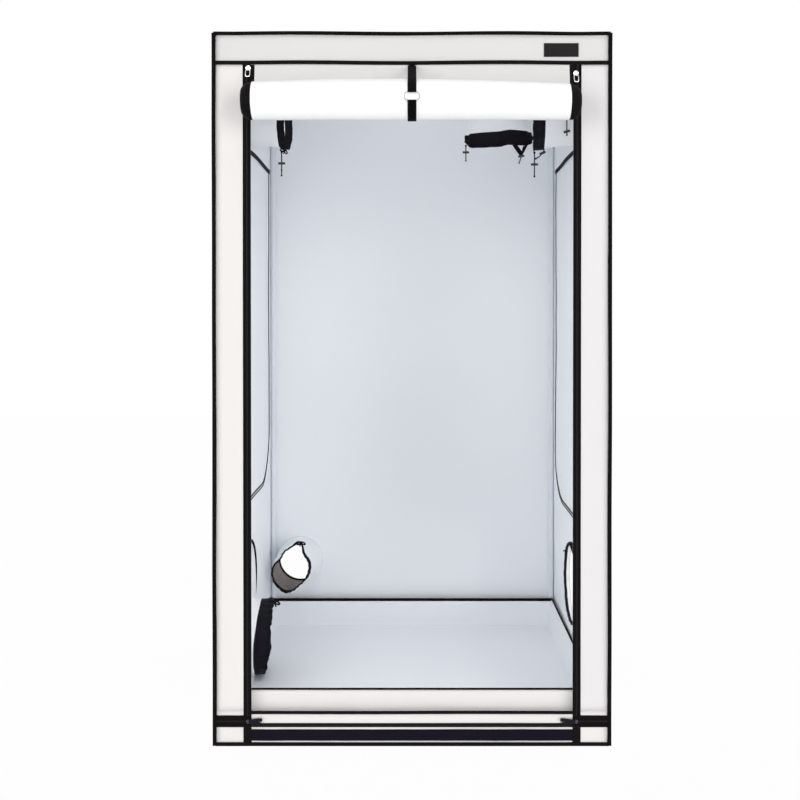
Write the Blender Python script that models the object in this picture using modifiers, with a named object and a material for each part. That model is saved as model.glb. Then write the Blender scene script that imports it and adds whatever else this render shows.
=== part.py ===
"""Indoor grow tent, as separate pieces at their real size.

A box of hollow poles on corner connectors stands inside a sewn skin of fabric panels. The front door is
rolled up under the header, two side doors hang from their top edges, six duct sleeves reach inwards, and a
spill tray lies on the floor. Metres, +Z up, the front towards -Y, the origin on the floor at the middle.
"""

import math

import bmesh
import bpy
from mathutils import Matrix, Vector

# Driving dimensions
TENT_WIDTH = 1.21
TENT_DEPTH = 1.21
TENT_HEIGHT = 2.20
FABRIC = 0.001
SEAT = 0.0003
MERGE = 0.00001
OVERRUN = 0.02

# Frame
POLE_DIAMETER = 0.022
POLE_WALL = 0.001
POLE_SIDES = 16
CONNECTOR_SIZE = 0.025
CONNECTOR_EDGE = 0.002
SPIGOT_LENGTH = 0.045
BAR_DIAMETER = 0.016
BAR_WALL = 0.001
BAR_BUTTON_HOLE = 0.006
FRONT_BAR_FROM_CENTRE = 0.25
REAR_BAR_FROM_CENTRE = 0.12
CLIP_WALL = 0.001
CLIP_LENGTH = 0.03
CLIP_MOUTH = 0.016

# Front surround
FRONT_STRIP = 0.108
HEADER_HEIGHT = 0.093
SILL_HEIGHT = 0.108
ZIP_WIDTH = 0.025
ZIP_TAPE = 0.0008
ZIP_RIDGE_WIDTH = 0.006
ZIP_RIDGE = 0.0012
CORNER_ZIP_LOW = 0.059
CORNER_ZIP_WIDTH = 0.037
HOOK_BAND_LOW = 0.017
HOOK_BAND_WIDTH = 0.0355
HOOK_BAND = 0.0015
SLIDER_LENGTH = 0.016
SLIDER_WIDTH = 0.012
SLIDER_HEIGHT = 0.0045
SLIDER_EDGE = 0.001
PULL_LENGTH = 0.03
PULL_WIDTH = 0.009
PULL_SHEET = 0.0015
PULL_SLOT_LENGTH = 0.012
PULL_SLOT_WIDTH = 0.004
LEFT_SLIDER_BELOW_HEADER = 0.004
RIGHT_SLIDER_BELOW_HEADER = 0.020

# Front door, rolled up
ROLL_RADIUS = 0.060
ROLL_STANDOFF = 0.019
ROLL_BELOW_HEADER = 0.126
ROLL_LAP = 0.012
ROLL_SIDES = 24
ROLL_STATIONS = 25
ROLL_WAVES = 3
ROLL_WAVE = 0.002
ROLL_END = 0.045
ROLL_END_DRAW_SHARE = 0.35
STRAP_WIDTH = 0.026
STRAP = 0.0016
STRAP_SEWN = 0.010
STRAP_BACK_ANGLE = math.radians(-18)
RING_WIDTH = 0.050
RING_HEIGHT = 0.026
RING_WIRE = 0.003
RING_CORNER_SHARE = 0.55

# Side doors
SIDE_DOOR_FRONT = 0.100
SIDE_DOOR_REAR = 0.080
LEFT_SIDE_DOOR_LOW = 0.645
RIGHT_SIDE_DOOR_LOW = 0.578
SIDE_DOOR_BELOW_ROOF = 0.280
SIDE_DOOR_CORNER = 0.200
SIDE_DOOR_GAP = 0.0005
CORNER_STEPS = 6

# Spill tray
TRAY_WALL = 0.001
TRAY_HEIGHT = 0.115
TRAY_LIP_HEIGHT = 0.168

# Duct sleeves: where each port is, its radius, and how far its sleeve reaches
SLEEVE_SIDES = 32
SLEEVE_FOLDS = 7
UPPER_PORT_RADIUS = 0.100
UPPER_PORT_BELOW_ROOF = 0.150
UPPER_PORT_BEHIND_FRONT = 0.600
LEFT_UPPER_SLEEVE_REACH = 0.128
RIGHT_UPPER_SLEEVE_REACH = 0.155
LOWER_PORT_RADIUS = 0.150
LOWER_PORT_HEIGHT = 0.340
LOWER_PORT_BEHIND_FRONT = 0.620
LEFT_LOWER_SLEEVE_REACH = 0.085
RIGHT_LOWER_SLEEVE_REACH = 0.018
ROOF_PORT_RADIUS = 0.100
ROOF_PORT_FROM_RIGHT = 0.267
ROOF_PORT_BEHIND_FRONT = 0.880
ROOF_SLEEVE_REACH = 0.205
BACK_PORT_RADIUS = 0.095
BACK_PORT_FROM_LEFT = 0.127
BACK_PORT_HEIGHT = 0.282
BACK_SLEEVE_REACH = 0.175

# Each row of shares: along the reach, then sideways, up, half width, half height and fold depth over the
# radius
UPPER_SLEEVE_SHARES = (
    (0.00, 0.00, 0.00, 1.00, 1.00, 0.000),
    (0.10, 0.00, 0.00, 1.00, 1.00, 0.000),
    (0.35, 0.00, -0.02, 0.99, 0.98, 0.015),
    (0.58, 0.00, -0.06, 0.96, 0.96, 0.030),
    (0.70, 0.00, -0.10, 0.86, 0.92, 0.050),
    (0.86, 0.00, -0.20, 0.78, 0.90, 0.080),
    (1.00, 0.00, -0.30, 0.66, 0.84, 0.100),
)
ROOF_SLEEVE_SHARES = (
    (0.00, 0.00, 0.00, 1.00, 1.00, 0.000),
    (0.08, 0.00, 0.00, 1.00, 1.00, 0.000),
    (0.30, 0.02, 0.00, 1.09, 0.86, 0.015),
    (0.55, 0.03, 0.00, 1.20, 0.66, 0.030),
    (0.76, 0.03, 0.00, 1.30, 0.48, 0.045),
    (0.88, 0.03, 0.00, 1.33, 0.42, 0.050),
    (1.00, 0.03, 0.00, 1.34, 0.40, 0.060),
)
BACK_SLEEVE_SHARES = (
    (0.00, 0.00, 0.00, 1.00, 1.00, 0.000),
    (0.10, 0.00, 0.00, 1.00, 1.00, 0.000),
    (0.34, -0.05, 0.02, 0.98, 1.00, 0.020),
    (0.60, -0.12, 0.08, 0.94, 1.04, 0.035),
    (0.80, -0.16, 0.14, 0.88, 1.08, 0.050),
    (1.00, -0.20, 0.20, 0.82, 1.08, 0.060),
)
LEFT_LOWER_SLEEVE_SHARES = (
    (0.00, 0.00, 0.00, 1.00, 1.00, 0.000),
    (0.12, 0.00, 0.00, 1.00, 1.00, 0.000),
    (0.34, 0.00, -0.26, 1.02, 1.06, 0.012),
    (0.52, -0.05, -0.78, 1.04, 1.12, 0.020),
    (0.70, -0.10, -1.16, 1.02, 1.00, 0.030),
    (0.86, -0.12, -1.30, 0.96, 0.88, 0.035),
    (1.00, -0.14, -1.34, 0.88, 0.84, 0.040),
)
RIGHT_LOWER_SLEEVE_SHARES = (
    (0.00, 0.00, 0.00, 1.00, 1.00, 0.000),
    (0.22, 0.00, 0.00, 1.00, 1.00, 0.000),
    (0.60, 0.00, -0.02, 0.97, 0.98, 0.012),
    (1.00, 0.00, -0.04, 0.90, 0.94, 0.025),
)

# Drawstring tails and cord toggles
CORD_DIAMETER = 0.004
CORD_POINT_SPACING = 0.009
SIDE_CORD_LENGTH = 0.088
ROOF_CORD_LENGTH = 0.058
TOGGLE_LENGTH = 0.026
TOGGLE_DIAMETER = 0.010
TOGGLE_SIDES = 12
TOGGLE_FROM_CUFF = 0.044
ROOF_TOGGLE_FROM_CUFF = 0.026

# Derived sizes
HALF_X = TENT_WIDTH / 2
HALF_Y = TENT_DEPTH / 2
SIDE_DOOR_HIGH = TENT_HEIGHT - SIDE_DOOR_BELOW_ROOF
UPPER_PORT_HEIGHT = TENT_HEIGHT - UPPER_PORT_BELOW_ROOF
ROOF_PORT_X = HALF_X - ROOF_PORT_FROM_RIGHT
BACK_PORT_X = BACK_PORT_FROM_LEFT - HALF_X
POLE_RADIUS = POLE_DIAMETER / 2
CONNECTOR_HALF = CONNECTOR_SIZE / 2
SKIN = FABRIC + SEAT
POLE_INSET = SKIN + CONNECTOR_HALF
POLE_X = HALF_X - POLE_INSET
POLE_Y = HALF_Y - POLE_INSET
POLE_LOW = POLE_INSET
POLE_HIGH = TENT_HEIGHT - POLE_INSET
DOORWAY_HALF = HALF_X - FRONT_STRIP
HEADER_LOW = TENT_HEIGHT - HEADER_HEIGHT
ZIP_X = DOORWAY_HALF + ZIP_WIDTH / 2
ZIP_THICKNESS = ZIP_TAPE + ZIP_RIDGE
FRONT_FACE = -HALF_Y
TRIM_FACE = FRONT_FACE - SEAT
ROLL_Y = FRONT_FACE - ROLL_STANDOFF - ROLL_RADIUS
ROLL_Z = HEADER_LOW - ROLL_BELOW_HEADER
ROLL_HALF = DOORWAY_HALF + ROLL_LAP
CORNER_ZIP_HIGH = CORNER_ZIP_LOW + CORNER_ZIP_WIDTH

# The plane of a flat outline in Y and Z: its own x, y and z go to +Y, +Z and +X
YZ_PLANE = Matrix(((0, 0, 1), (1, 0, 0), (0, 1, 0))).to_4x4()

X_AXIS = Vector((1, 0, 0))
Y_AXIS = Vector((0, 1, 0))
Z_AXIS = Vector((0, 0, 1))


# Scene and materials

def clear_scene():
    for old in list(bpy.data.objects):
        bpy.data.objects.remove(old)


def new_collection(name):
    made = bpy.data.collections.new(name)
    bpy.context.scene.collection.children.link(made)
    return made


def new_material(name, colour, roughness, metallic=0.0):
    made = bpy.data.materials.new(name)
    made.use_nodes = True
    shader = made.node_tree.nodes["Principled BSDF"]
    shader.inputs["Base Color"].default_value = (*colour, 1.0)
    shader.inputs["Roughness"].default_value = roughness
    shader.inputs["Metallic"].default_value = metallic
    return made


clear_scene()
PARTS = new_collection("indoor_grow_tent")
CUTTERS = new_collection("cutters")
SKIN_CLOTH = new_material("skin_cloth", (0.90, 0.89, 0.88), 0.75)
LINING = new_material("silver_lining", (0.68, 0.73, 0.79), 0.45)
WEBBING = new_material("black_webbing", (0.02, 0.018, 0.02), 0.8)
POLE_PAINT = new_material("pole_paint", (0.85, 0.86, 0.87), 0.35)
PLASTIC = new_material("black_plastic", (0.03, 0.03, 0.03), 0.5)
STEEL = new_material("steel", (0.62, 0.62, 0.63), 0.3, 1.0)


# Modelling helpers

def add_object(name, data, finish, group=None):
    made = bpy.data.objects.new(name, data)
    (group or PARTS).objects.link(made)
    if finish:
        data.materials.append(finish)
    return made


def as_cutter(shape):
    shape.hide_render = True
    shape.display_type = "WIRE"
    return shape


def box(name, low, high, finish, origin=None, group=None):
    low, high = Vector(low), Vector(high)
    centre = (low + high) / 2
    origin = centre if origin is None else Vector(origin)
    shape = bmesh.new()
    bmesh.ops.create_cube(shape, size=1.0)
    bmesh.ops.scale(shape, vec=high - low, verts=shape.verts)
    bmesh.ops.translate(shape, vec=centre - origin, verts=shape.verts)
    mesh = bpy.data.meshes.new(name)
    shape.to_mesh(mesh)
    shape.free()
    made = add_object(name, mesh, finish, group)
    made.location = origin
    return made


def cylinder(name, start, end, radius, sides, finish=None, group=None):
    start, end = Vector(start), Vector(end)
    run = end - start
    shape = bmesh.new()
    bmesh.ops.create_cone(
        shape, cap_ends=True, segments=sides, radius1=radius, radius2=radius, depth=run.length
    )
    mesh = bpy.data.meshes.new(name)
    shape.to_mesh(mesh)
    shape.free()
    made = add_object(name, mesh, finish, group)
    made.location = (start + end) / 2
    made.rotation_mode = "QUATERNION"
    made.rotation_quaternion = run.to_track_quat("Z", "Y")
    return made


def hollow_tube(name, start, end, radius, wall, sides, finish):
    """A turned tube: a closed profile, down its outer side, on a Screw modifier."""
    start, end = Vector(start), Vector(end)
    run = end - start
    top, low = run.length / 2, -run.length / 2
    profile = [(radius, 0, top), (radius, 0, low), (radius - wall, 0, low), (radius - wall, 0, top)]
    mesh = bpy.data.meshes.new(name)
    mesh.from_pydata(profile, [(0, 1), (1, 2), (2, 3), (3, 0)], [])
    made = add_object(name, mesh, finish)
    made.location = (start + end) / 2
    made.rotation_mode = "QUATERNION"
    made.rotation_quaternion = run.to_track_quat("Z", "Y")
    turn = made.modifiers.new("turn", "SCREW")
    turn.axis = "Z"
    turn.steps = sides
    turn.render_steps = sides
    turn.merge_threshold = MERGE
    turn.use_smooth_shade = True
    return made


def mesh_of(curve_object, name):
    """A curve as a welded mesh object in the curve's place; the curve goes."""
    bpy.context.view_layer.update()
    evaluated = curve_object.evaluated_get(bpy.context.evaluated_depsgraph_get())
    mesh = bpy.data.meshes.new_from_object(evaluated)
    shape = bmesh.new()
    shape.from_mesh(mesh)
    bmesh.ops.remove_doubles(shape, verts=shape.verts, dist=MERGE)
    bmesh.ops.recalc_face_normals(shape, faces=shape.faces)
    shape.to_mesh(mesh)
    shape.free()
    made = bpy.data.objects.new(name, mesh)
    for group in curve_object.users_collection:
        group.objects.link(made)
    made.matrix_world = curve_object.matrix_world
    bpy.data.objects.remove(curve_object)
    made.name = name
    return made


def prism(name, outline, plane, centre, depth, finish, group=None):
    """A flat outline, given about the centre in the plane's own axes, as thick as depth."""
    flat = bpy.data.curves.new(name, "CURVE")
    flat.dimensions = "2D"
    flat.fill_mode = "BOTH"
    flat.extrude = depth / 2
    line = flat.splines.new("POLY")
    line.points.add(len(outline) - 1)
    for point, (across, up) in zip(line.points, outline):
        point.co = (across, up, 0, 1)
    line.use_cyclic_u = True
    made = add_object(name + "_outline", flat, finish, group)
    made.matrix_world = Matrix.Translation(Vector(centre)) @ plane
    return mesh_of(made, name)


def cut(body, cutter):
    bite = body.modifiers.new("cut_" + cutter.name, "BOOLEAN")
    bite.operation = "DIFFERENCE"
    bite.object = as_cutter(cutter)
    return body


def join(body, other):
    union = body.modifiers.new("join_" + other.name, "BOOLEAN")
    union.operation = "UNION"
    union.object = as_cutter(other)
    return body


def bevel(body, width, segments=1):
    edge = body.modifiers.new("bevel", "BEVEL")
    edge.width = width
    edge.segments = segments
    edge.limit_method = "ANGLE"
    return body


def smooth(body):
    body.data.shade_smooth()
    body.data.set_sharp_from_angle(angle=math.radians(35))
    return body


def loft(name, rings, finish, capped):
    """A skin of quads over rings of equal count, each turning right-handed about the way to the next."""
    shape = bmesh.new()
    rows = [[shape.verts.new(point) for point in ring] for ring in rings]
    sides = len(rings[0])
    for near, far in zip(rows, rows[1:]):
        for i in range(sides):
            j = (i + 1) % sides
            shape.faces.new((near[i], near[j], far[j], far[i]))
    if capped:
        shape.faces.new(list(reversed(rows[0])))
        shape.faces.new(rows[-1])
    mesh = bpy.data.meshes.new(name)
    shape.to_mesh(mesh)
    shape.free()
    return smooth(add_object(name, mesh, finish))


def arc(centre, radius, start, end, steps):
    """Points on a circle in a plane, from one angle to another."""
    angles = [start + (end - start) * i / steps for i in range(steps + 1)]
    return [(centre[0] + radius * math.cos(a), centre[1] + radius * math.sin(a)) for a in angles]


# Frame of poles

def corner_connector(name, side, depth, level):
    """Three spigots from a block; side, depth and level are -1 or +1 and say which corner."""
    place = Vector((side * POLE_X, depth * POLE_Y, POLE_LOW if level < 0 else POLE_HIGH))
    half = Vector((CONNECTOR_HALF, CONNECTOR_HALF, CONNECTOR_HALF))
    body = bevel(box(name, place - half, place + half, PLASTIC), CONNECTOR_EDGE)
    spigot_radius = POLE_RADIUS - POLE_WALL - SEAT
    for label, way in (("x", -side * X_AXIS), ("y", -depth * Y_AXIS), ("z", -level * Z_AXIS)):
        tip = place + way * (CONNECTOR_HALF + SPIGOT_LENGTH)
        join(body, cylinder(name + "_spigot_" + label, place, tip, spigot_radius, POLE_SIDES, group=CUTTERS))
    return body


def pole(name, start, end):
    start, end = Vector(start), Vector(end)
    along = (end - start).normalized() * (CONNECTOR_HALF + SEAT)
    return hollow_tube(name, start + along, end - along, POLE_RADIUS, POLE_WALL, POLE_SIDES, POLE_PAINT)


def frame_of_poles():
    sides = (("left", -1), ("right", 1))
    depths = (("front", -1), ("rear", 1))
    levels = (("bottom", -1, POLE_LOW), ("top", 1, POLE_HIGH))
    for level_name, level, height in levels:
        for depth_name, depth in depths:
            for side_name, side in sides:
                corner_connector(f"connector_{level_name}_{depth_name}_{side_name}", side, depth, level)
            y = depth * POLE_Y
            pole(f"rail_{level_name}_{depth_name}", (-POLE_X, y, height), (POLE_X, y, height))
        for side_name, side in sides:
            x = side * POLE_X
            pole(f"rail_{level_name}_{side_name}", (x, -POLE_Y, height), (x, POLE_Y, height))
    for depth_name, depth in depths:
        for side_name, side in sides:
            x, y = side * POLE_X, depth * POLE_Y
            pole(f"upright_{depth_name}_{side_name}", (x, y, POLE_LOW), (x, y, POLE_HIGH))


def hanging_bar(name, y):
    """A hollow bar between the top side rails, with a clip that opens downwards over each rail."""
    clip_inner = POLE_RADIUS + SEAT
    clip_outer = clip_inner + CLIP_WALL
    bar_end = POLE_X - clip_inner - CLIP_WALL / 2
    bar = cylinder(name, (-bar_end, y, POLE_HIGH), (bar_end, y, POLE_HIGH), BAR_DIAMETER / 2,
                   POLE_SIDES, STEEL)
    hollow_end = POLE_X - clip_outer
    bore_radius = BAR_DIAMETER / 2 - BAR_WALL
    cut(bar, cylinder(name + "_bore", (-hollow_end, y, POLE_HIGH), (hollow_end, y, POLE_HIGH),
                      bore_radius, POLE_SIDES, group=CUTTERS))
    for label, x in (("left", -POLE_X), ("right", POLE_X)):
        low, high = y - CLIP_LENGTH / 2, y + CLIP_LENGTH / 2
        join(bar, cylinder(f"{name}_clip_{label}", (x, low, POLE_HIGH), (x, high, POLE_HIGH),
                           clip_outer, POLE_SIDES, group=CUTTERS))
        near, far = low - OVERRUN, high + OVERRUN
        cut(bar, cylinder(f"{name}_seat_{label}", (x, near, POLE_HIGH), (x, far, POLE_HIGH),
                          clip_inner, POLE_SIDES, group=CUTTERS))
        mouth_low = (x - CLIP_MOUTH / 2, near, POLE_HIGH - clip_outer - OVERRUN)
        cut(bar, box(f"{name}_mouth_{label}", mouth_low, (x + CLIP_MOUTH / 2, far, POLE_HIGH), None,
                     group=CUTTERS))
    cut(bar, cylinder(name + "_button_hole", (0, y, POLE_HIGH), (0, y, POLE_HIGH - BAR_DIAMETER),
                      BAR_BUTTON_HOLE / 2, POLE_SIDES, group=CUTTERS))
    return bar


# Skin panels

def port_cutter(name, centre, along, radius):
    reach = along * OVERRUN
    return cylinder(name, centre - reach, centre + reach, radius - FABRIC, SLEEVE_SIDES, group=CUTTERS)


def side_door_outline(side, margin):
    """About the wall's centre line and the floor, in Y and Z: square top corners, round lower ones."""
    door_low = LEFT_SIDE_DOOR_LOW if side < 0 else RIGHT_SIDE_DOOR_LOW
    front = SIDE_DOOR_FRONT - HALF_Y - margin
    rear = HALF_Y - SIDE_DOOR_REAR + margin
    low, high = door_low - margin, SIDE_DOOR_HIGH + margin
    radius = SIDE_DOOR_CORNER + margin
    front_centre, rear_centre = (front + radius, low + radius), (rear - radius, low + radius)
    lower_front = arc(front_centre, radius, math.pi, math.pi * 3 / 2, CORNER_STEPS)
    lower_rear = arc(rear_centre, radius, -math.pi / 2, 0, CORNER_STEPS)
    return [(front, high)] + lower_front + lower_rear + [(rear, high)]


def side_wall(name, side):
    outer, inner = side * HALF_X, side * (HALF_X - FABRIC)
    low_x, high_x = min(outer, inner), max(outer, inner)
    wall = box(name, (low_x, -HALF_Y, SKIN), (high_x, HALF_Y, TENT_HEIGHT - SKIN), SKIN_CLOTH)
    ports = (
        ("upper", UPPER_PORT_BEHIND_FRONT, UPPER_PORT_HEIGHT, UPPER_PORT_RADIUS),
        ("lower", LOWER_PORT_BEHIND_FRONT, LOWER_PORT_HEIGHT, LOWER_PORT_RADIUS),
    )
    for label, behind, height, radius in ports:
        centre = Vector((outer, FRONT_FACE + behind, height))
        cut(wall, port_cutter(f"{name}_{label}_port", centre, X_AXIS, radius))
    cut(wall, prism(name + "_doorway", side_door_outline(side, SIDE_DOOR_GAP), YZ_PLANE, (outer, 0, 0),
                    OVERRUN, None, CUTTERS))
    return wall


def side_door(name, side):
    """The flap in the side wall; its origin lies on the hinge line, the outer edge of its top."""
    middle = side * (HALF_X - FABRIC / 2)
    door = prism(name, side_door_outline(side, 0), YZ_PLANE, (middle, 0, 0), FABRIC, SKIN_CLOTH)
    hinge = Matrix.Translation(Vector((side * HALF_X, 0, SIDE_DOOR_HIGH)))
    bpy.context.view_layer.update()
    door.data.transform(hinge.inverted() @ door.matrix_world)
    door.matrix_world = hinge
    return door


def skin_panels():
    across = HALF_X - SKIN
    box("floor_panel", (-HALF_X, -HALF_Y, 0), (HALF_X, HALF_Y, FABRIC), SKIN_CLOTH)
    roof = box("roof_panel", (-HALF_X, -HALF_Y, TENT_HEIGHT - FABRIC), (HALF_X, HALF_Y, TENT_HEIGHT),
               SKIN_CLOTH)
    roof_port = Vector((ROOF_PORT_X, FRONT_FACE + ROOF_PORT_BEHIND_FRONT, TENT_HEIGHT))
    cut(roof, port_cutter("roof_port", roof_port, Z_AXIS, ROOF_PORT_RADIUS))
    back = box("back_panel", (-across, HALF_Y - FABRIC, SKIN), (across, HALF_Y, TENT_HEIGHT - SKIN),
               SKIN_CLOTH)
    back_port = Vector((BACK_PORT_X, HALF_Y, BACK_PORT_HEIGHT))
    cut(back, port_cutter("back_port", back_port, Y_AXIS, BACK_PORT_RADIUS))
    side_wall("left_panel", -1)
    side_wall("right_panel", 1)
    behind = FRONT_FACE + FABRIC
    box("front_header", (-across, FRONT_FACE, HEADER_LOW), (across, behind, TENT_HEIGHT - SKIN), SKIN_CLOTH)
    box("front_sill", (-across, FRONT_FACE, SKIN), (across, behind, SILL_HEIGHT), SKIN_CLOTH)
    low, high = SILL_HEIGHT + SEAT, HEADER_LOW - SEAT
    box("front_strip_left", (-across, FRONT_FACE, low), (-DOORWAY_HALF, behind, high), SKIN_CLOTH)
    box("front_strip_right", (DOORWAY_HALF, FRONT_FACE, low), (across, behind, high), SKIN_CLOTH)


def spill_tray():
    """An open box of sheet between the poles, its front wall taller than the rest."""
    half_x = POLE_X - CONNECTOR_HALF - SEAT
    half_y = POLE_Y - CONNECTOR_HALF - SEAT
    tray = box("floor_tray", (-half_x, -half_y, SKIN), (half_x, half_y, TRAY_LIP_HEIGHT), LINING)
    inside_x, inside_y = half_x - TRAY_WALL, half_y - TRAY_WALL
    cut(tray, box("tray_inside", (-inside_x, -inside_y, SKIN + TRAY_WALL),
                  (inside_x, inside_y, TRAY_LIP_HEIGHT + OVERRUN), None, group=CUTTERS))
    cut(tray, box("tray_low_walls", (-half_x - OVERRUN, -inside_y, TRAY_HEIGHT),
                  (half_x + OVERRUN, half_y + OVERRUN, TRAY_LIP_HEIGHT + OVERRUN), None, group=CUTTERS))
    return tray


# Duct sleeves

def sleeve_ring(centre, across, up, half_width, half_height, fold):
    ring = []
    for i in range(SLEEVE_SIDES):
        angle = math.tau * i / SLEEVE_SIDES
        ripple = 1 + fold * math.cos(SLEEVE_FOLDS * angle)
        ring.append(
            centre
            + across * (half_width * ripple * math.cos(angle))
            + up * (half_height * ripple * math.sin(angle))
        )
    return ring


def sleeve(name, port, inward, across, up, radius, reach, shares):
    """A limp tube of cloth from a port, sewn to the inner face of its panel, open at its gathered mouth."""
    rings = []
    for along, sideways, rise, width, height, fold in shares:
        centre = port + inward * (reach * along) + across * (radius * sideways) + up * (radius * rise)
        rings.append(sleeve_ring(centre, across, up, radius * width, radius * height, fold))
    made = loft(name, rings, LINING, capped=False)
    wall = made.modifiers.new("wall", "SOLIDIFY")
    wall.thickness = FABRIC
    wall.offset = -1
    return rings[-1]


def duct_sleeves():
    """All six sleeves; what comes back is the rim of each that has a drawstring tail."""
    inner_x, inner_y = HALF_X - SKIN, HALF_Y - SKIN
    upper_y = FRONT_FACE + UPPER_PORT_BEHIND_FRONT
    lower_y = FRONT_FACE + LOWER_PORT_BEHIND_FRONT
    left_port = Vector((-inner_x, upper_y, UPPER_PORT_HEIGHT))
    left_rim = sleeve("upper_left_sleeve", left_port, X_AXIS, Y_AXIS, Z_AXIS,
                      UPPER_PORT_RADIUS, LEFT_UPPER_SLEEVE_REACH, UPPER_SLEEVE_SHARES)
    right_port = Vector((inner_x, upper_y, UPPER_PORT_HEIGHT))
    right_rim = sleeve("upper_right_sleeve", right_port, -X_AXIS, -Y_AXIS, Z_AXIS,
                       UPPER_PORT_RADIUS, RIGHT_UPPER_SLEEVE_REACH, UPPER_SLEEVE_SHARES)
    sleeve("lower_left_sleeve", Vector((-inner_x, lower_y, LOWER_PORT_HEIGHT)), X_AXIS, Y_AXIS, Z_AXIS,
           LOWER_PORT_RADIUS, LEFT_LOWER_SLEEVE_REACH, LEFT_LOWER_SLEEVE_SHARES)
    sleeve("lower_right_sleeve", Vector((inner_x, lower_y, LOWER_PORT_HEIGHT)), -X_AXIS, -Y_AXIS, Z_AXIS,
           LOWER_PORT_RADIUS, RIGHT_LOWER_SLEEVE_REACH, RIGHT_LOWER_SLEEVE_SHARES)
    roof_port = Vector((ROOF_PORT_X, FRONT_FACE + ROOF_PORT_BEHIND_FRONT, TENT_HEIGHT - SKIN))
    roof_rim = sleeve("roof_sleeve", roof_port, -Z_AXIS, X_AXIS, -Y_AXIS,
                      ROOF_PORT_RADIUS, ROOF_SLEEVE_REACH, ROOF_SLEEVE_SHARES)
    sleeve("back_sleeve", Vector((BACK_PORT_X, inner_y, BACK_PORT_HEIGHT)), -Y_AXIS, X_AXIS, Z_AXIS,
           BACK_PORT_RADIUS, BACK_SLEEVE_REACH, BACK_SLEEVE_SHARES)
    return left_rim, right_rim, roof_rim


# Drawstring tails

def drawstring(name, top, length, toggle_name, toggle_drop):
    """A tail of cord that hangs straight from a cuff, through the cross hole of its toggle."""
    steps = max(2, round(length / CORD_POINT_SPACING))
    line = bpy.data.curves.new(name, "CURVE")
    line.dimensions = "3D"
    line.bevel_depth = CORD_DIAMETER / 2
    line.bevel_resolution = 2
    line.use_fill_caps = True
    spline = line.splines.new("POLY")
    spline.points.add(steps)
    for i, point in enumerate(spline.points):
        point.co = (0, 0, -length * i / steps, 1)
    cord = add_object(name, line, WEBBING)
    cord.location = top
    middle = top - Z_AXIS * toggle_drop
    half = X_AXIS * (TOGGLE_LENGTH / 2)
    toggle = cylinder(toggle_name, middle - half, middle + half, TOGGLE_DIAMETER / 2, TOGGLE_SIDES, PLASTIC)
    reach = Z_AXIS * TOGGLE_DIAMETER
    cut(toggle, cylinder(toggle_name + "_hole", middle - reach, middle + reach,
                         CORD_DIAMETER / 2 + SEAT, TOGGLE_SIDES, group=CUTTERS))
    return cord


def furthest(rim, way):
    return max(rim, key=lambda point: point.dot(way))


def drawstrings(left_rim, right_rim, roof_rim):
    """Each tail hangs from its cuff, just inside the rim: at its lowest point, or at the roof rim's left."""
    below, inside = -Z_AXIS * SEAT, CORD_DIAMETER / 2
    left = furthest(left_rim, -Z_AXIS) + below - X_AXIS * inside
    right = furthest(right_rim, -Z_AXIS) + below + X_AXIS * inside
    roof = furthest(roof_rim, -X_AXIS) + below + X_AXIS * FABRIC / 2
    drawstring("upper_left_cord", left, SIDE_CORD_LENGTH, "upper_left_toggle", TOGGLE_FROM_CUFF)
    drawstring("upper_right_cord", right, SIDE_CORD_LENGTH, "upper_right_toggle", TOGGLE_FROM_CUFF)
    drawstring("roof_cord", roof, ROOF_CORD_LENGTH, "roof_toggle", ROOF_TOGGLE_FROM_CUFF)


# Zips and sliders

def zip_strip(name, start, end, width, ridge_across):
    """A tape with a raised ridge, on the outer face of the front; ridge_across is off the tape's middle."""
    start, end = Vector(start), Vector(end)
    run = end - start
    half, ridge_half = width / 2, ZIP_RIDGE_WIDTH / 2
    low, high = ridge_across - ridge_half, ridge_across + ridge_half
    outline = [(-half, 0), (half, 0), (half, ZIP_TAPE), (high, ZIP_TAPE), (high, ZIP_THICKNESS),
               (low, ZIP_THICKNESS), (low, ZIP_TAPE), (-half, ZIP_TAPE)]
    along = run.normalized()
    out = -Y_AXIS
    across = out.cross(along)
    plane = Matrix((across, out, along)).transposed().to_4x4()
    return prism(name, outline, plane, (start + end) / 2, run.length, WEBBING)


def slider(name, place, pull_way):
    """A slider body on a zip's ridge with a slotted pull that lies along the zip."""
    across = pull_way.cross(Y_AXIS)
    back = place - Y_AXIS * SEAT
    front = back - Y_AXIS * SLIDER_HEIGHT
    reach = pull_way * SLIDER_LENGTH / 2 + across * SLIDER_WIDTH / 2
    corners = (back - reach, front + reach)
    low = Vector(map(min, *corners))
    high = Vector(map(max, *corners))
    body = bevel(box(name, low, high, STEEL), SLIDER_EDGE)
    half, round_end = PULL_WIDTH / 2, PULL_LENGTH - PULL_WIDTH / 2
    outline = [(-half, 0)] + arc((0, -round_end), half, math.pi, math.tau, CORNER_STEPS) + [(half, 0)]
    out = -Y_AXIS
    plane = Matrix((out.cross(-pull_way), -pull_way, out)).transposed().to_4x4()
    lie = front + Y_AXIS * (SLIDER_HEIGHT / 2)
    pull = prism(name + "_pull", outline, plane, lie, PULL_SHEET, None, CUTTERS)
    join(body, pull)
    slot_middle = lie + pull_way * (PULL_LENGTH - PULL_WIDTH / 2 - PULL_SLOT_LENGTH / 2)
    slot_reach = pull_way * PULL_SLOT_LENGTH / 2 + across * PULL_SLOT_WIDTH / 2 + Y_AXIS * PULL_SHEET
    slot_corners = (slot_middle - slot_reach, slot_middle + slot_reach)
    slot_low, slot_high = Vector(map(min, *slot_corners)), Vector(map(max, *slot_corners))
    slot = box(name + "_slot", slot_low, slot_high, None, group=CUTTERS)
    return cut(body, slot)


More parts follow.
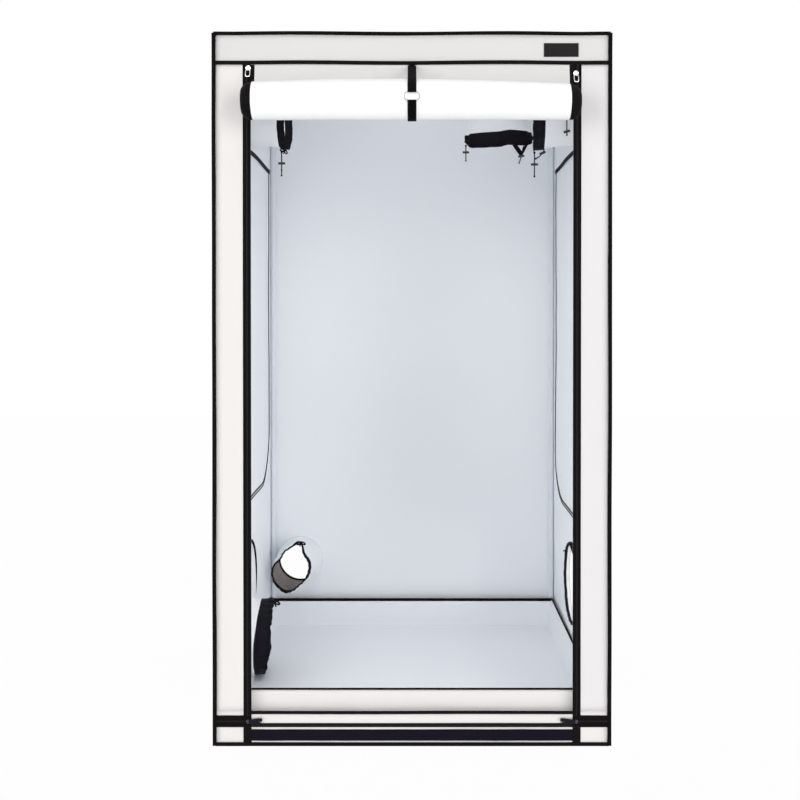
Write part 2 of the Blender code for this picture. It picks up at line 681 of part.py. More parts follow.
def zips():
    across = HALF_X - SKIN
    corner_middle = CORNER_ZIP_LOW + CORNER_ZIP_WIDTH / 2
    ridge_face = TRIM_FACE - ZIP_THICKNESS
    sides = (("left", -1, LEFT_SLIDER_BELOW_HEADER), ("right", 1, RIGHT_SLIDER_BELOW_HEADER))
    for label, side, slider_below in sides:
        low, high = CORNER_ZIP_HIGH + SEAT, HEADER_LOW - SEAT
        x = side * ZIP_X
        zip_strip(f"door_zip_{label}", (x, TRIM_FACE, low), (x, TRIM_FACE, high), ZIP_WIDTH, 0)
        inner, outer = side * (DOORWAY_HALF + SEAT), side * across
        zip_strip(f"corner_zip_{label}", (inner, TRIM_FACE, corner_middle), (outer, TRIM_FACE, corner_middle),
                  CORNER_ZIP_WIDTH, 0)
        slider_z = HEADER_LOW - slider_below - SLIDER_LENGTH / 2
        slider(f"door_slider_{label}", Vector((side * ZIP_X, ridge_face, slider_z)), -Z_AXIS)
        corner_x = side * (DOORWAY_HALF + SEAT + SLIDER_LENGTH / 2)
        slider(f"corner_slider_{label}", Vector((corner_x, ridge_face, corner_middle)), -side * X_AXIS)
    box("hook_loop_band", (-DOORWAY_HALF, TRIM_FACE - HOOK_BAND, HOOK_BAND_LOW),
        (DOORWAY_HALF, TRIM_FACE, HOOK_BAND_LOW + HOOK_BAND_WIDTH), WEBBING)


# Rolled front door

def door_roll():
    """A soft roll of cloth: round at the strap, waving a little along its length, drawn in at its ends."""
    rings = []
    for i in range(ROLL_STATIONS):
        x = ROLL_HALF * (2 * i / (ROLL_STATIONS - 1) - 1)
        wave = (1 - math.cos(math.tau * ROLL_WAVES * x / ROLL_HALF)) / 2
        into_end = max(0, abs(x) - (ROLL_HALF - ROLL_END)) / ROLL_END
        radius = (ROLL_RADIUS - ROLL_WAVE * wave) * math.sqrt(1 - (1 - ROLL_END_DRAW_SHARE) * into_end**4)
        rings.append([
            Vector((x, radius * math.cos(angle), radius * math.sin(angle)))
            for angle in (math.tau * k / ROLL_SIDES for k in range(ROLL_SIDES))
        ])
    roll = loft("door_roll", rings, SKIN_CLOTH, capped=True)
    roll.location = (0, ROLL_Y, ROLL_Z)
    return roll


def door_sheet():
    """The first stretch of the door, from the header's lower edge down behind the roll."""
    top, low = HEADER_LOW - SEAT, ROLL_Z
    back_of_roll = FRONT_FACE - ROLL_STANDOFF + SEAT
    outline = [(FRONT_FACE, top), (back_of_roll, low), (back_of_roll + FABRIC, low),
               (FRONT_FACE + FABRIC, top)]
    return prism("door_sheet", outline, YZ_PLANE, (0, 0, 0), 2 * (DOORWAY_HALF - SEAT), SKIN_CLOTH)


def ribbon(name, path, finish):
    """A strap of webbing that follows a path in Y and Z, its thickness to the left of the way along."""
    inner, outer = [], []
    for i, point in enumerate(path):
        before, after = Vector(path[max(0, i - 1)]), Vector(path[min(len(path) - 1, i + 1)])
        way = (after - before).normalized()
        inner.append(tuple(point))
        outer.append((point[0] - way.y * STRAP, point[1] + way.x * STRAP))
    return prism(name, inner + list(reversed(outer)), YZ_PLANE, (0, 0, 0), STRAP_WIDTH, finish)


def roll_strap():
    """The strap in two halves, joined by a wire ring at the front of the roll."""
    lie = ROLL_RADIUS + SEAT
    ring_y = ROLL_Y - lie - RING_WIRE / 2
    ring_half = RING_HEIGHT / 2
    ring_angle = math.asin((ring_half + SEAT) / lie)
    sewn = Vector((TRIM_FACE, HEADER_LOW))
    away = sewn - Vector((ROLL_Y, ROLL_Z))
    tangent_angle = math.atan2(away.y, away.x) + math.acos(lie / away.length)
    upper = [(TRIM_FACE, HEADER_LOW + STRAP_SEWN), tuple(sewn)]
    upper += arc((ROLL_Y, ROLL_Z), lie, tangent_angle, math.pi - ring_angle, CORNER_STEPS)
    ribbon("roll_strap_upper", list(reversed(upper)), WEBBING)
    lower = arc((ROLL_Y, ROLL_Z), lie, math.pi + ring_angle, math.tau + STRAP_BACK_ANGLE, CORNER_STEPS * 3)
    ribbon("roll_strap_lower", list(reversed(lower)), WEBBING)
    strap_ring(Vector((0, ring_y, ROLL_Z)))


def strap_ring(centre):
    """A six-sided loop of wire, wider than it is tall."""
    half_x, half_z = (RING_WIDTH - RING_WIRE) / 2, (RING_HEIGHT - RING_WIRE) / 2
    corner = half_x * RING_CORNER_SHARE
    outline = [(-half_x, 0), (-corner, half_z), (corner, half_z), (half_x, 0), (corner, -half_z),
               (-corner, -half_z)]
    wire = bpy.data.curves.new("strap_ring", "CURVE")
    wire.dimensions = "3D"
    wire.bevel_depth = RING_WIRE / 2
    wire.bevel_resolution = 2
    spline = wire.splines.new("POLY")
    spline.points.add(len(outline) - 1)
    for point, (x, z) in zip(spline.points, outline):
        point.co = (x, 0, z, 1)
    spline.use_cyclic_u = True
    ring = add_object("strap_ring", wire, STEEL)
    ring.location = centre
    return ring


def main():
    frame_of_poles()
    hanging_bar("hanging_bar_front", -FRONT_BAR_FROM_CENTRE)
    hanging_bar("hanging_bar_rear", REAR_BAR_FROM_CENTRE)
    skin_panels()
    side_door("left_side_door", -1)
    side_door("right_side_door", 1)
    spill_tray()
    drawstrings(*duct_sleeves())
    zips()
    door_roll()
    door_sheet()
    roll_strap()


main()
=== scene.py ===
"""Looks of the indoor grow tent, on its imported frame.

Cloth panels, bindings, zips, the rolled door, duct sleeves, drawstrings and the soft tray are modelled
here, in metres, over the fixed nodes. The front looks towards -Y and the floor is at Z 0.
"""

import math

import bmesh
import bpy
from mathutils import Matrix, Vector, noise


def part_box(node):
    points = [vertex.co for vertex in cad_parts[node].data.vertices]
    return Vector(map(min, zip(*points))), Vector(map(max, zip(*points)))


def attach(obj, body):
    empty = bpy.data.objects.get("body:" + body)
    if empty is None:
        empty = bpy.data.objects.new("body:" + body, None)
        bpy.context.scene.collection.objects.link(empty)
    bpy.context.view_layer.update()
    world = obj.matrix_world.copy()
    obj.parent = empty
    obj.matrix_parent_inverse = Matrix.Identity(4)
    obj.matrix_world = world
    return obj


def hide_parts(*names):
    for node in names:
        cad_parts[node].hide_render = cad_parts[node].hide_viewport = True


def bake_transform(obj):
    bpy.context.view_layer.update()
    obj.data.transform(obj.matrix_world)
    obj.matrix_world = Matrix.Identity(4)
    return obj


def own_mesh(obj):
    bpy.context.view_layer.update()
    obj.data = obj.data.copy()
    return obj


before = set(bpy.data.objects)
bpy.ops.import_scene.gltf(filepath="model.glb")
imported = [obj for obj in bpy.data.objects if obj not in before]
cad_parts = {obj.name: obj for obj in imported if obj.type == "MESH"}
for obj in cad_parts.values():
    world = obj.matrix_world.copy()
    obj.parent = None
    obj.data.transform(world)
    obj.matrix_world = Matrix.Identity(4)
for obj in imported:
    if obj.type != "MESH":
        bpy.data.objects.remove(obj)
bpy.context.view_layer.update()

X, Y, Z = Vector((1, 0, 0)), Vector((0, 1, 0)), Vector((0, 0, 1))
SIDES = (("left", -1), ("right", 1))

# Places that the frame gives
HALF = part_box("floor_panel")[1].x
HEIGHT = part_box("roof_panel")[1].z
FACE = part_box("front_header")[0].y
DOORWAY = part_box("front_strip_right")[0].x
HEADER_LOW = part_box("front_header")[0].z
SILL_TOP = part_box("front_sill")[1].z
STRIP_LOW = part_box("door_zip_left")[0].z
STRIP_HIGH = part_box("door_zip_left")[1].z
DOOR_ZIP_X = (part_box("door_zip_right")[0].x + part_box("door_zip_right")[1].x) / 2
CORNER_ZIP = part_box("corner_zip_right")
HOOK_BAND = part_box("hook_loop_band")
SIDE_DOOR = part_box("left_side_door")
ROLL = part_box("door_roll")
ROLL_CENTRE = (ROLL[0] + ROLL[1]) / 2
ROLL_RADIUS = (ROLL[1].z - ROLL[0].z) / 2
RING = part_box("strap_ring")
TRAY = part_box("floor_tray")

# Cloth: thickness, the mesh's step, the calm band along seams, the ripples' depths and seeds, and how
# panels are cut
CLOTH = 0.001
CLOTH_STEP = 0.022
EDGE_CALM = 0.05
WALL_RIPPLE = 0.006
TAUT_RIPPLE = 0.0034
WALL_SEEDS = {-1: 11, 1: 29}
SKIN_INSIDE = 0.0013
SIDE_DOOR_CORNER = 0.200
DOOR_GAP = 0.0005
CUT_DEPTH = 0.06

# Sewn trim and zips
BINDING_WIDTH = 0.0150
BINDING_THICK = 0.0034
BINDING_OUT = 0.0076
BINDING_UP = 0.0026
FLAT_BINDING = 0.0120
FLAT_THICK = 0.0022
TRIM_GAP = 0.0004
FOOT_CLEAR = 0.0045
ZIP_TAPE = 0.0011
TOOTH_PITCH = 0.0036
TOOTH_WIDTH = 0.0052
TOOTH_HIGH = 0.0013
DOOR_ZIP_WIDTH, STUB_LOW = 0.025, 0.0105
DOOR_ZIP_RIDGES, CORNER_ZIP_RIDGES = (-0.0085, 0.0085), (-0.012, -0.006, 0.007, 0.013)
SIDE_ZIP_WALL, SIDE_ZIP_DOOR = 0.0065, -0.0055
SILL_ZIP_HEIGHT, SILL_ZIP_WIDTH = 0.0655, 0.0125
SILL_LINE_HEIGHT, SILL_LINE_WIDTH = 0.1050, 0.0105
HOOK_THICK = 0.0018
SLIDER_LENGTH, SLIDER_HIGH = 0.016, 0.0045
PULL_HALF = 0.0125

# Ports in the sides: behind the front face, above the floor, radius
UPPER_PORT = (0.600, 2.050, 0.100)
LOWER_PORT = (0.620, 0.340, 0.150)

# Ports in the roof and the back: to the right, behind the front face or above the floor, radius
ROOF_PORT = (0.338, 0.880, 0.100)
BACK_PORT = (-0.478, 0.282, 0.095)

# Camera settings
LENS = 45.73
SENSOR = 36.0
CAMERA_PLACE = (0.003, -3.742, 1.364)
CAMERA_TILT = math.radians(0.5)
SHIFT_X = -0.01625
SHIFT_Y = -0.1066


# Camera

def make_camera():
    data = bpy.data.cameras.new("camera")
    data.lens = LENS
    data.sensor_width = SENSOR
    data.shift_x = SHIFT_X
    data.shift_y = SHIFT_Y
    camera = bpy.data.objects.new("camera", data)
    camera.location = CAMERA_PLACE
    camera.rotation_euler = (math.pi / 2 - CAMERA_TILT, 0, 0)
    bpy.context.scene.collection.objects.link(camera)
    bpy.context.scene.camera = camera


make_camera()


# Finishes

def finish(name, colour, roughness, metallic=0.0, gloss=0.5):
    made = bpy.data.materials.new(name)
    made.use_nodes = True
    sockets = made.node_tree.nodes["Principled BSDF"].inputs
    sockets["Base Color"].default_value = (*colour, 1.0)
    sockets["Roughness"].default_value = roughness
    sockets["Metallic"].default_value = metallic
    sockets["Specular IOR Level"].default_value = gloss
    return made


def bumped(made, *layers):
    """Adds bumps to a finish; each layer is a texture's kind, size and depth in metres, and strength."""
    nodes, links = made.node_tree.nodes, made.node_tree.links
    place = nodes.new("ShaderNodeTexCoord")
    last = None
    for kind, size, depth, strength in layers:
        if kind == "noise":
            texture = nodes.new("ShaderNodeTexNoise")
            texture.inputs["Scale"].default_value = 1 / size
            texture.inputs["Detail"].default_value = 3
        else:
            texture = nodes.new("ShaderNodeTexWave")
            texture.bands_direction = kind
            texture.inputs["Scale"].default_value = 1 / (size * math.tau)
            texture.inputs["Distortion"].default_value = 0.4
        links.new(place.outputs["Object"], texture.inputs["Vector"])
        bump = nodes.new("ShaderNodeBump")
        bump.inputs["Distance"].default_value = depth
        bump.inputs["Strength"].default_value = strength
        links.new(texture.outputs["Fac"], bump.inputs["Height"])
        if last:
            links.new(last.outputs["Normal"], bump.inputs["Normal"])
        last = bump
    links.new(last.outputs["Normal"], nodes["Principled BSDF"].inputs["Normal"])
    return made


def skin_finish(name, *colour):
    return bumped(finish(name, colour, 0.62, gloss=0.3), ("noise", 0.16, 0.006, 0.22),
                  ("X", 0.0009, 0.0002, 0.25), ("Z", 0.0009, 0.0002, 0.25))


SKIN = skin_finish("white_coated_cloth", 0.735, 0.718, 0.702)
# The same white cloth painted greyer: painted shade, for the header and the door hanging above the roll
SHADE_PAINTED_SKIN = skin_finish("white_cloth_painted_shade", 0.652, 0.645, 0.643)
# The same white cloth painted a little darker and cooler: painted shade, for the right front strip
COOL_SHADE_PAINTED_SKIN = skin_finish("white_cloth_painted_cool_shade", 0.706, 0.692, 0.699)
# The same white cloth painted far brighter: painted light, so the rolled door stays white down to its
# underside
LIGHT_PAINTED_DOOR_SKIN = skin_finish("white_door_cloth_painted_light", 0.96, 0.96, 0.96)
LINING = bumped(finish("reflective_lining", (0.926, 0.941, 0.964), 0.50, metallic=0.04),
                ("noise", 0.10, 0.006, 0.30), ("noise", 0.02, 0.0012, 0.20))
SLEEVE_CLOTH = bumped(finish("sleeve_cloth", (0.935, 0.945, 0.96), 0.5), ("noise", 0.05, 0.004, 0.35))
# Dark brownish grey inside the back and lower left sleeves: painted shade deep in the tubes
SHADE_PAINTED_SLEEVE_INSIDE = bumped(finish("sleeve_inside_painted_shade", (0.24, 0.205, 0.20), 0.7), ("noise", 0.04, 0.004, 0.4))
WEBBING = bumped(finish("black_binding", (0.0042, 0.0033, 0.0038), 0.8, gloss=0.08),
                 ("DIAGONAL", 0.0022, 0.0006, 0.7), ("noise", 0.01, 0.0004, 0.4))
STRAPPING = bumped(finish("black_strap_webbing", (0.0022, 0.0017, 0.0024), 0.75, gloss=0.06),
                   ("X", 0.0018, 0.0006, 0.8), ("Z", 0.003, 0.0004, 0.4))
CUFF_CLOTH = bumped(finish("black_cuff_cloth", (0.004, 0.003, 0.007), 0.8, gloss=0.2),
                    ("noise", 0.02, 0.003, 0.6))
HOOKS = bumped(finish("hook_band_pile", (0.0042, 0.0034, 0.0090), 0.9, gloss=0.12),
               ("noise", 0.0025, 0.0012, 0.9), ("noise", 0.05, 0.002, 0.3))
CORD = bumped(finish("braided_cord", (0.004, 0.003, 0.005), 0.8, gloss=0.2),
              ("DIAGONAL", 0.0016, 0.0005, 0.8))
TEETH = finish("zip_teeth", (0.0070, 0.0055, 0.0068), 0.5, gloss=0.20)
PLASTIC = bumped(finish("moulded_plastic", (0.028, 0.027, 0.030), 0.42),
                 ("noise", 0.0012, 0.0002, 0.3))
POLE_PAINT = bumped(finish("white_powder_coat", (0.80, 0.83, 0.87), 0.34), ("noise", 0.0015, 0.0001, 0.2))
BAR_STEEL = bumped(finish("zinc_steel", (0.63, 0.64, 0.66), 0.30, metallic=1.0),
                   ("noise", 0.012, 0.0002, 0.2))
BRIGHT = finish("bright_plated", (0.80, 0.80, 0.82), 0.20, metallic=1.0)
RING_STEEL = finish("ring_wire_steel", (0.30, 0.30, 0.31), 0.35, metallic=1.0)
PLATE = bumped(finish("bare_plate", (0.0070, 0.0062, 0.0070), 0.6, gloss=0.15),
               ("noise", 0.002, 0.0002, 0.3))


# Modelling helpers

def noisy(point, scale, seed):
    """Smooth noise from -1 to 1; scale is its wavelength."""
    return noise.noise(Vector(point) / scale + Vector((seed, seed * 0.71, seed * 1.37)))


def ease(low, high, value):
    share = min(1.0, max(0.0, (value - low) / (high - low)))
    return share * share * (3 - 2 * share)


def keep(name, mesh, *finishes):
    for one in finishes:
        mesh.materials.append(one)
    made = bpy.data.objects.new(name, mesh)
    bpy.context.scene.collection.objects.link(made)
    return made


def shade(piece, angle=38):
    piece.data.shade_smooth()
    piece.data.set_sharp_from_angle(angle=math.radians(angle))
    return piece


def from_shape(name, shape, *finishes):
    mesh = bpy.data.meshes.new(name)
    shape.to_mesh(mesh)
    shape.free()
    return shade(keep(name, mesh, *finishes))


def grid(name, rows, *finishes, ring=False, loop=False, caps=False, pick=None, towards=None):
    """Quads over rows of points. ring closes each row, loop joins the last row to the first, pick says which
    finish a quad has, and towards is the way that an open sheet's first finish looks."""
    shape = bmesh.new()
    made = [[shape.verts.new(point) for point in row] for row in rows]
    count = len(rows[0])
    for i in range(len(rows) if loop else len(rows) - 1):
        near, far = made[i], made[(i + 1) % len(rows)]
        for j in range(count if ring else count - 1):
            k = (j + 1) % count
            face = shape.faces.new((near[j], near[k], far[k], far[j]))
            if pick:
                face.material_index = pick(i, j)
    if caps:
        shape.faces.new(made[0])
        shape.faces.new(made[-1])
    if towards is None:
        bmesh.ops.recalc_face_normals(shape, faces=shape.faces)
    else:
        shape.normal_update()
        if sum((face.normal * face.calc_area()).dot(towards) for face in shape.faces) < 0:
            bmesh.ops.reverse_faces(shape, faces=shape.faces)
    return from_shape(name, shape, *finishes)


def moved(path, step):
    return [point + step for point in path]


def resample(path, spacing):
    """The same path with points at an even spacing."""
    path = [Vector(point) for point in path]
    lengths = [0.0]
    for a, b in zip(path, path[1:]):
        lengths.append(lengths[-1] + (b - a).length)
    steps = max(1, round(lengths[-1] / spacing))
    made, i = [], 0
    for n in range(steps + 1):
        at = lengths[-1] * n / steps
        while i < len(path) - 2 and lengths[i + 1] < at:
            i += 1
        span = lengths[i + 1] - lengths[i]
        made.append(path[i].lerp(path[i + 1], (at - lengths[i]) / span if span else 0))
    return made


def ways(path, loop=False):
    count, made = len(path), []
    for i in range(count):
        before = path[i - 1] if loop or i else path[0]
        after = path[(i + 1) % count] if loop or i < count - 1 else path[-1]
        made.append((after - before).normalized())
    return made


def sweep(name, path, outline, out, made_of, loop=False):
    """An outline of (across, out) pairs along a path; out is a vector or a function of the point's number."""
    rows = []
    for i, (point, way) in enumerate(zip(path, ways(path, loop))):
        facing = out(i) if callable(out) else out
        across = way.cross(facing).normalized()
        normal = across.cross(way)
        rows.append([point + across * a + normal * b for a, b in outline])
    return grid(name, rows, made_of, ring=True, loop=loop, caps=not loop)


def arc(start, stop, steps):
    """Angles from one to the other, both included."""
    return [start + (stop - start) * i / steps for i in range(steps + 1)]


def turns(count):
    """Angles once round."""
    return arc(0, math.tau, count)[:-1]


def round_outline(radius, sides):
    return [(radius * math.cos(a), radius * math.sin(a)) for a in turns(sides)]


def squared_outline(wide, high, power, count):
    """Between an ellipse and a rectangle; a higher power makes it squarer."""
    made = []
    for a in turns(count):
        reach = 1 / (abs(math.cos(a)) ** power + abs(math.sin(a)) ** power) ** (1 / power)
        made.append((wide * reach * math.cos(a), high * reach * math.sin(a)))
    return made


def tape(name, path, out, width, thick, made_of, loop=False):
    """A flat band with rounded edges."""
    half, side, low = width / 2, width / 2 - thick * 0.4, thick / 2
    outline = [(-side, -low), (0, -low), (side, -low), (half, 0),
               (side, low), (0, low * 1.15), (-side, low), (-half, 0)]
    return sweep(name, path, outline, out, made_of, loop)


def cable(name, path, radius, made_of, out, sides, loop=False):
    return sweep(name, path, round_outline(radius, sides), out, made_of, loop)


def circle(centre, across, up, radius, count):
    return [centre + across * a + up * b for a, b in round_outline(radius, count)]


def box_piece(name, low, high, made_of, edge):
    shape = bmesh.new()
    bmesh.ops.create_cube(shape, size=1.0)
    bmesh.ops.scale(shape, vec=high - low, verts=shape.verts)
    bmesh.ops.translate(shape, vec=(low + high) / 2, verts=shape.verts)
    bmesh.ops.bevel(shape, geom=shape.edges[:], offset=edge, segments=2, affect="EDGES", profile=0.6)
    return from_shape(name, shape, made_of)


def merge(name, *pieces):
    """One piece out of several, with the materials of each."""
    shape = bmesh.new()
    finishes = []
    for piece in pieces:
        start = len(shape.faces)
        shape.from_mesh(piece.data)
        shape.faces.ensure_lookup_table()
        for face in shape.faces[start:]:
            made_of = piece.data.materials[face.material_index]
            if made_of not in finishes:
                finishes.append(made_of)
            face.material_index = finishes.index(made_of)
        bpy.data.objects.remove(piece)
    return from_shape(name, shape, *finishes)


def teeth(name, path, out):
    """A row of small blocks along a path."""
    points, faces = [], []
    path = resample(path, TOOTH_PITCH)
    for point, way in zip(path, ways(path)):
        across = way.cross(out).normalized() * (TOOTH_WIDTH / 2)
        half = way * (TOOTH_PITCH * 0.30)
        start = len(points)
        for level in (0, TOOTH_HIGH):
            for a, b in ((-1, -1), (1, -1), (1, 1), (-1, 1)):
                points.append(point + across * a + half * b + out * level)
        faces += [tuple(start + i for i in quad) for quad in (
            (3, 2, 1, 0), (4, 5, 6, 7), (0, 1, 5, 4), (1, 2, 6, 5), (2, 3, 7, 6), (3, 0, 4, 7))]
    mesh = bpy.data.meshes.new(name)
    mesh.from_pydata(points, [], faces)
    return keep(name, mesh, TEETH)


def thicken(piece, thickness=CLOTH, inner=0):
    """Cloth from a single sheet; its second side takes the finish that comes inner places later."""
    wall = piece.modifiers.new("cloth", "SOLIDIFY")
    wall.thickness = thickness
    wall.offset = -1
    wall.material_offset = inner
    wall.material_offset_rim = 0
    return piece


def prism(name, outline, across, up, middle, depth):
    """A cutter: a flat outline, in the two given axes about a point, with a depth."""
    away = across.cross(up) * (depth / 2)
    flat = [middle + across * a + up * b for a, b in outline]
    return grid(name, [moved(flat, -away), moved(flat, away)], ring=True, caps=True)


def carve(piece, cutters, operation="DIFFERENCE"):
    """Cuts the cutters out of a piece, or keeps what lies in them, and makes the modifiers real."""
    for cutter in cutters:
        bite = piece.modifiers.new(cutter.name, "BOOLEAN")
        bite.operation = operation
        bite.object = cutter
        bite.solver = "EXACT"
    bpy.context.view_layer.update()
    solid = bpy.data.meshes.new_from_object(piece.evaluated_get(bpy.context.evaluated_depsgraph_get()))
    piece.modifiers.clear()
    piece.data = solid
    for cutter in cutters:
        bpy.data.objects.remove(cutter)
    return shade(piece)


def on_body(piece, body, slot, *nodes):
    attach(piece, body)
    if nodes:
        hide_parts(*nodes)
    return piece


def root(piece, slot, *nodes):
    return on_body(piece, "root", slot, *nodes)


def trim(name, path, out, width, thick, made_of=WEBBING, loop=False):
    return root(tape(name, path, out, width, thick, made_of, loop), "black_webbing")


# Cloth panels

def cloth_depth(point, outward, seed, ripple, calm):
    """How far a panel's cloth stands off its plane at a point: broad waves, small folds, calm round ports."""
    depth = (0.72 * noisy(point, 0.60, seed) + 0.20 * noisy(point, 0.17, seed + 3)
             + 0.08 * noisy(point, 0.06, seed + 7))
    for centre, radius in calm:
        depth *= ease(radius, radius + EDGE_CALM, (point - centre).length)
    return outward * (depth * ripple)


def panel(name, corner, across, up, outward, seed, ripple=WALL_RIPPLE, calm=(), cloth=SKIN):
    """A rectangle of cloth, white outside and lined inside, rippled between its seams."""
    wide, high = across.length, up.length
    columns, lines = max(4, round(wide / CLOTH_STEP)), max(4, round(high / CLOTH_STEP))
    rows = []
    for i in range(lines + 1):
        row = []
        for j in range(columns + 1):
            a, b = j / columns, i / lines
            point = corner + across * a + up * b
            edge = min(a * wide, (1 - a) * wide, b * high, (1 - b) * high)
            fade = ease(0, min(EDGE_CALM, min(wide, high) / 3), edge)
            row.append(point + cloth_depth(point, outward, seed, ripple, calm) * fade)
        rows.append(row)
    return thicken(grid(name, rows, cloth, LINING, towards=outward), inner=1)


def round_cutter(centre, axis, radius):
    across = axis.orthogonal().normalized()
    return prism("port_cutter", round_outline(radius, 64), across, axis.cross(across), centre, CUT_DEPTH)


def side_door_outline(label, margin):
    """Y and Z round a side door: square top corners, round lower ones."""
    low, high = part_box(f"{label}_side_door")
    front, rear, low, high = low.y - margin, high.y + margin, low.z - margin, high.z + margin
    radius = SIDE_DOOR_CORNER + margin
    bend = arc(0, math.pi / 2, 14)
    lower_front = [(front + radius - radius * math.cos(a), low + radius - radius * math.sin(a)) for a in bend]
    lower_rear = [(rear - radius + radius * math.sin(a), low + radius - radius * math.cos(a)) for a in bend]
    return [(front, high)] + lower_front + lower_rear + [(rear, high)]


def side_wall(label, side):
    """The side's panel and, cut from the same cloth, its door."""
    corner, middle = Vector((side * HALF, -HALF, CLOTH)), Vector((side * HALF, 0, 0))
    ports = [(Vector((side * HALF, FACE + behind, height)), radius)
             for behind, height, radius in (UPPER_PORT, LOWER_PORT)]
    wall, door = [panel(f"{name}_{label}", corner, Y * (2 * HALF), Z * (HEIGHT - 2 * CLOTH), X * side,
                        WALL_SEEDS[side], calm=ports) for name in ("side_cloth", "side_door_cloth")]
    carve(wall, [prism("doorway", side_door_outline(label, DOOR_GAP), Y, Z, middle, CUT_DEPTH)]
          + [round_cutter(place, X, radius - CLOTH) for place, radius in ports])
    carve(door, [prism("door_cut", side_door_outline(label, 0), Y, Z, middle, CUT_DEPTH)], "INTERSECT")
    root(wall, "skin_cloth", f"{label}_panel")
    on_body(door, f"{label}_side_door", "skin_cloth", f"{label}_side_door")


def ported_panel(name, corner, up, outward, seed, ripple, port, radius, *rests_on):
    """A panel as wide as the tent, with a round port in it."""
    cloth = panel(f"{name}_cloth", corner, X * (2 * HALF), up, outward, seed, ripple, ((port, radius),))
    carve(cloth, [round_cutter(port, outward, radius - CLOTH)])
    root(cloth, "skin_cloth", f"{name}_panel")


def skin():
    ported_panel("roof", Vector((-HALF, -HALF, HEIGHT)), Y * (2 * HALF), Z, 5, TAUT_RIPPLE,
                 Vector((ROOF_PORT[0], FACE + ROOF_PORT[1], HEIGHT)), ROOF_PORT[2],
                 "rail_top_front", "rail_top_rear")
    ported_panel("back", Vector((-HALF, HALF, CLOTH)), Z * (HEIGHT - 2 * CLOTH), Y, 17, WALL_RIPPLE,
                 Vector((BACK_PORT[0], HALF, BACK_PORT[1])), BACK_PORT[2], "rail_top_rear")
    floor = panel("floor_cloth", Vector((-HALF, -HALF, 0)), X * (2 * HALF), Y * (2 * HALF), -Z, 3, ripple=0)
    root(floor, "skin_cloth", "floor_panel")
    strip, tall = HALF - DOORWAY, HEADER_LOW - SILL_TOP
    for name, node, left, low, wide, high, seed, made_of in (
            # the header's cloth is painted greyer, as painted shade
            ("header_cloth", "front_header", -HALF, HEADER_LOW, 2 * HALF, HEIGHT - HEADER_LOW - CLOTH, 41,
             SHADE_PAINTED_SKIN),
            ("sill_cloth", "front_sill", -HALF, CLOTH, 2 * HALF, SILL_TOP - CLOTH, 43, SKIN),
            ("strip_cloth_left", "front_strip_left", -HALF, SILL_TOP, strip, tall, 47, SKIN),
            # the right strip's cloth is painted darker and cooler, as painted shade
            ("strip_cloth_right", "front_strip_right", DOORWAY, SILL_TOP, strip, tall, 53, COOL_SHADE_PAINTED_SKIN)):
        cloth = panel(name, Vector((left, FACE, low)), X * wide, Z * high, -Y, seed, TAUT_RIPPLE,
                      cloth=made_of)
        root(cloth, "skin_cloth", node)
    for label, side in SIDES:
        side_wall(label, side)


# Bindings

def wavy(start, end, seed, swing, way):
    """A nearly straight path whose points stray a little along the given way."""
    path = resample([start, end], 0.03)
    for i, point in enumerate(path):
        fade = ease(0, 0.06, min((point - path[0]).length, (path[-1] - point).length))
        point += way * (swing * fade * noisy((i * 0.03, 0, 0), 0.34, seed))
    return path


def sagged(path, along, reach, depth, shift, wave, fade):
    """The path with a slow wave up and down that dies out over the fade at its ends."""
    made = []
    for point in path:
        at = point.dot(along)
        bend = math.cos(math.tau * (at + shift) / wave)
        made.append(point + Z * (depth * bend * ease(0, fade, reach - abs(at))))
    return made


def edge_bindings():
    """Folded tape over each seam of the box: a fin at the sides and top, flat round the bottom."""
    seed = 60
    for side, x in SIDES:
        for end, y in (("front", -1), ("rear", 1)):
            seed += 1
            fin = Vector((x, y, 0)).normalized()
            foot = Vector((x * HALF, y * HALF, FOOT_CLEAR)) + fin * BINDING_OUT
            top = foot + Z * (HEIGHT + BINDING_UP - FOOT_CLEAR)
            path = wavy(foot, top, seed, swing=0.0012, way=fin)
            trim(f"binding_upright_{end}_{side}", path, Z.cross(fin), BINDING_WIDTH, BINDING_THICK)
    for label, way, along in (("front", -Y, X), ("rear", Y, X), ("left", -X, Y), ("right", X, Y)):
        seed += 1
        fin = (way + Z).normalized()
        reach = HALF + BINDING_OUT * 0.5
        middle = way * HALF + Z * HEIGHT + fin * BINDING_UP
        path = wavy(middle - along * reach, middle + along * reach, seed, swing=0.0016, way=fin)
        path = sagged(path, along, reach, depth=0.0014, shift=-0.26, wave=0.63, fade=0.12)
        trim(f"binding_top_{label}", path, along.cross(fin), BINDING_WIDTH, BINDING_THICK)
        reach = HALF + BINDING_OUT * 0.6
        foot = way * (HALF + FLAT_THICK / 2 + TRIM_GAP) + Z * (FLAT_BINDING / 2 + TRIM_GAP)
        path = wavy(foot - along * reach, foot + along * reach, seed + 20, swing=0.0006, way=way)
        trim(f"binding_foot_{label}", path, way, FLAT_BINDING, FLAT_THICK)


def front_line(name, height, width, swing, seed, reach=HALF, sag=0.0):
    """A flat tape across the front face."""
    place = Y * (FACE - TRIM_GAP - FLAT_THICK / 2) + Z * height
    path = wavy(place - X * reach, place + X * reach, seed, swing, Z)
    path = sagged(path, X, reach, depth=-sag, shift=0.02, wave=0.64, fade=0.2)
    trim(name, path, -Y, width, FLAT_THICK)


# Zips

def zip_run(name, path, out, width):
    """A tape with a row of teeth along its middle."""
    lifted = moved(path, out * (TRIM_GAP + ZIP_TAPE / 2))
    band = tape(name + "_tape", lifted, out, width, ZIP_TAPE, WEBBING)
    row = teeth(name + "_teeth", moved(lifted, out * (ZIP_TAPE / 2)), out)
    return merge(name, band, row)


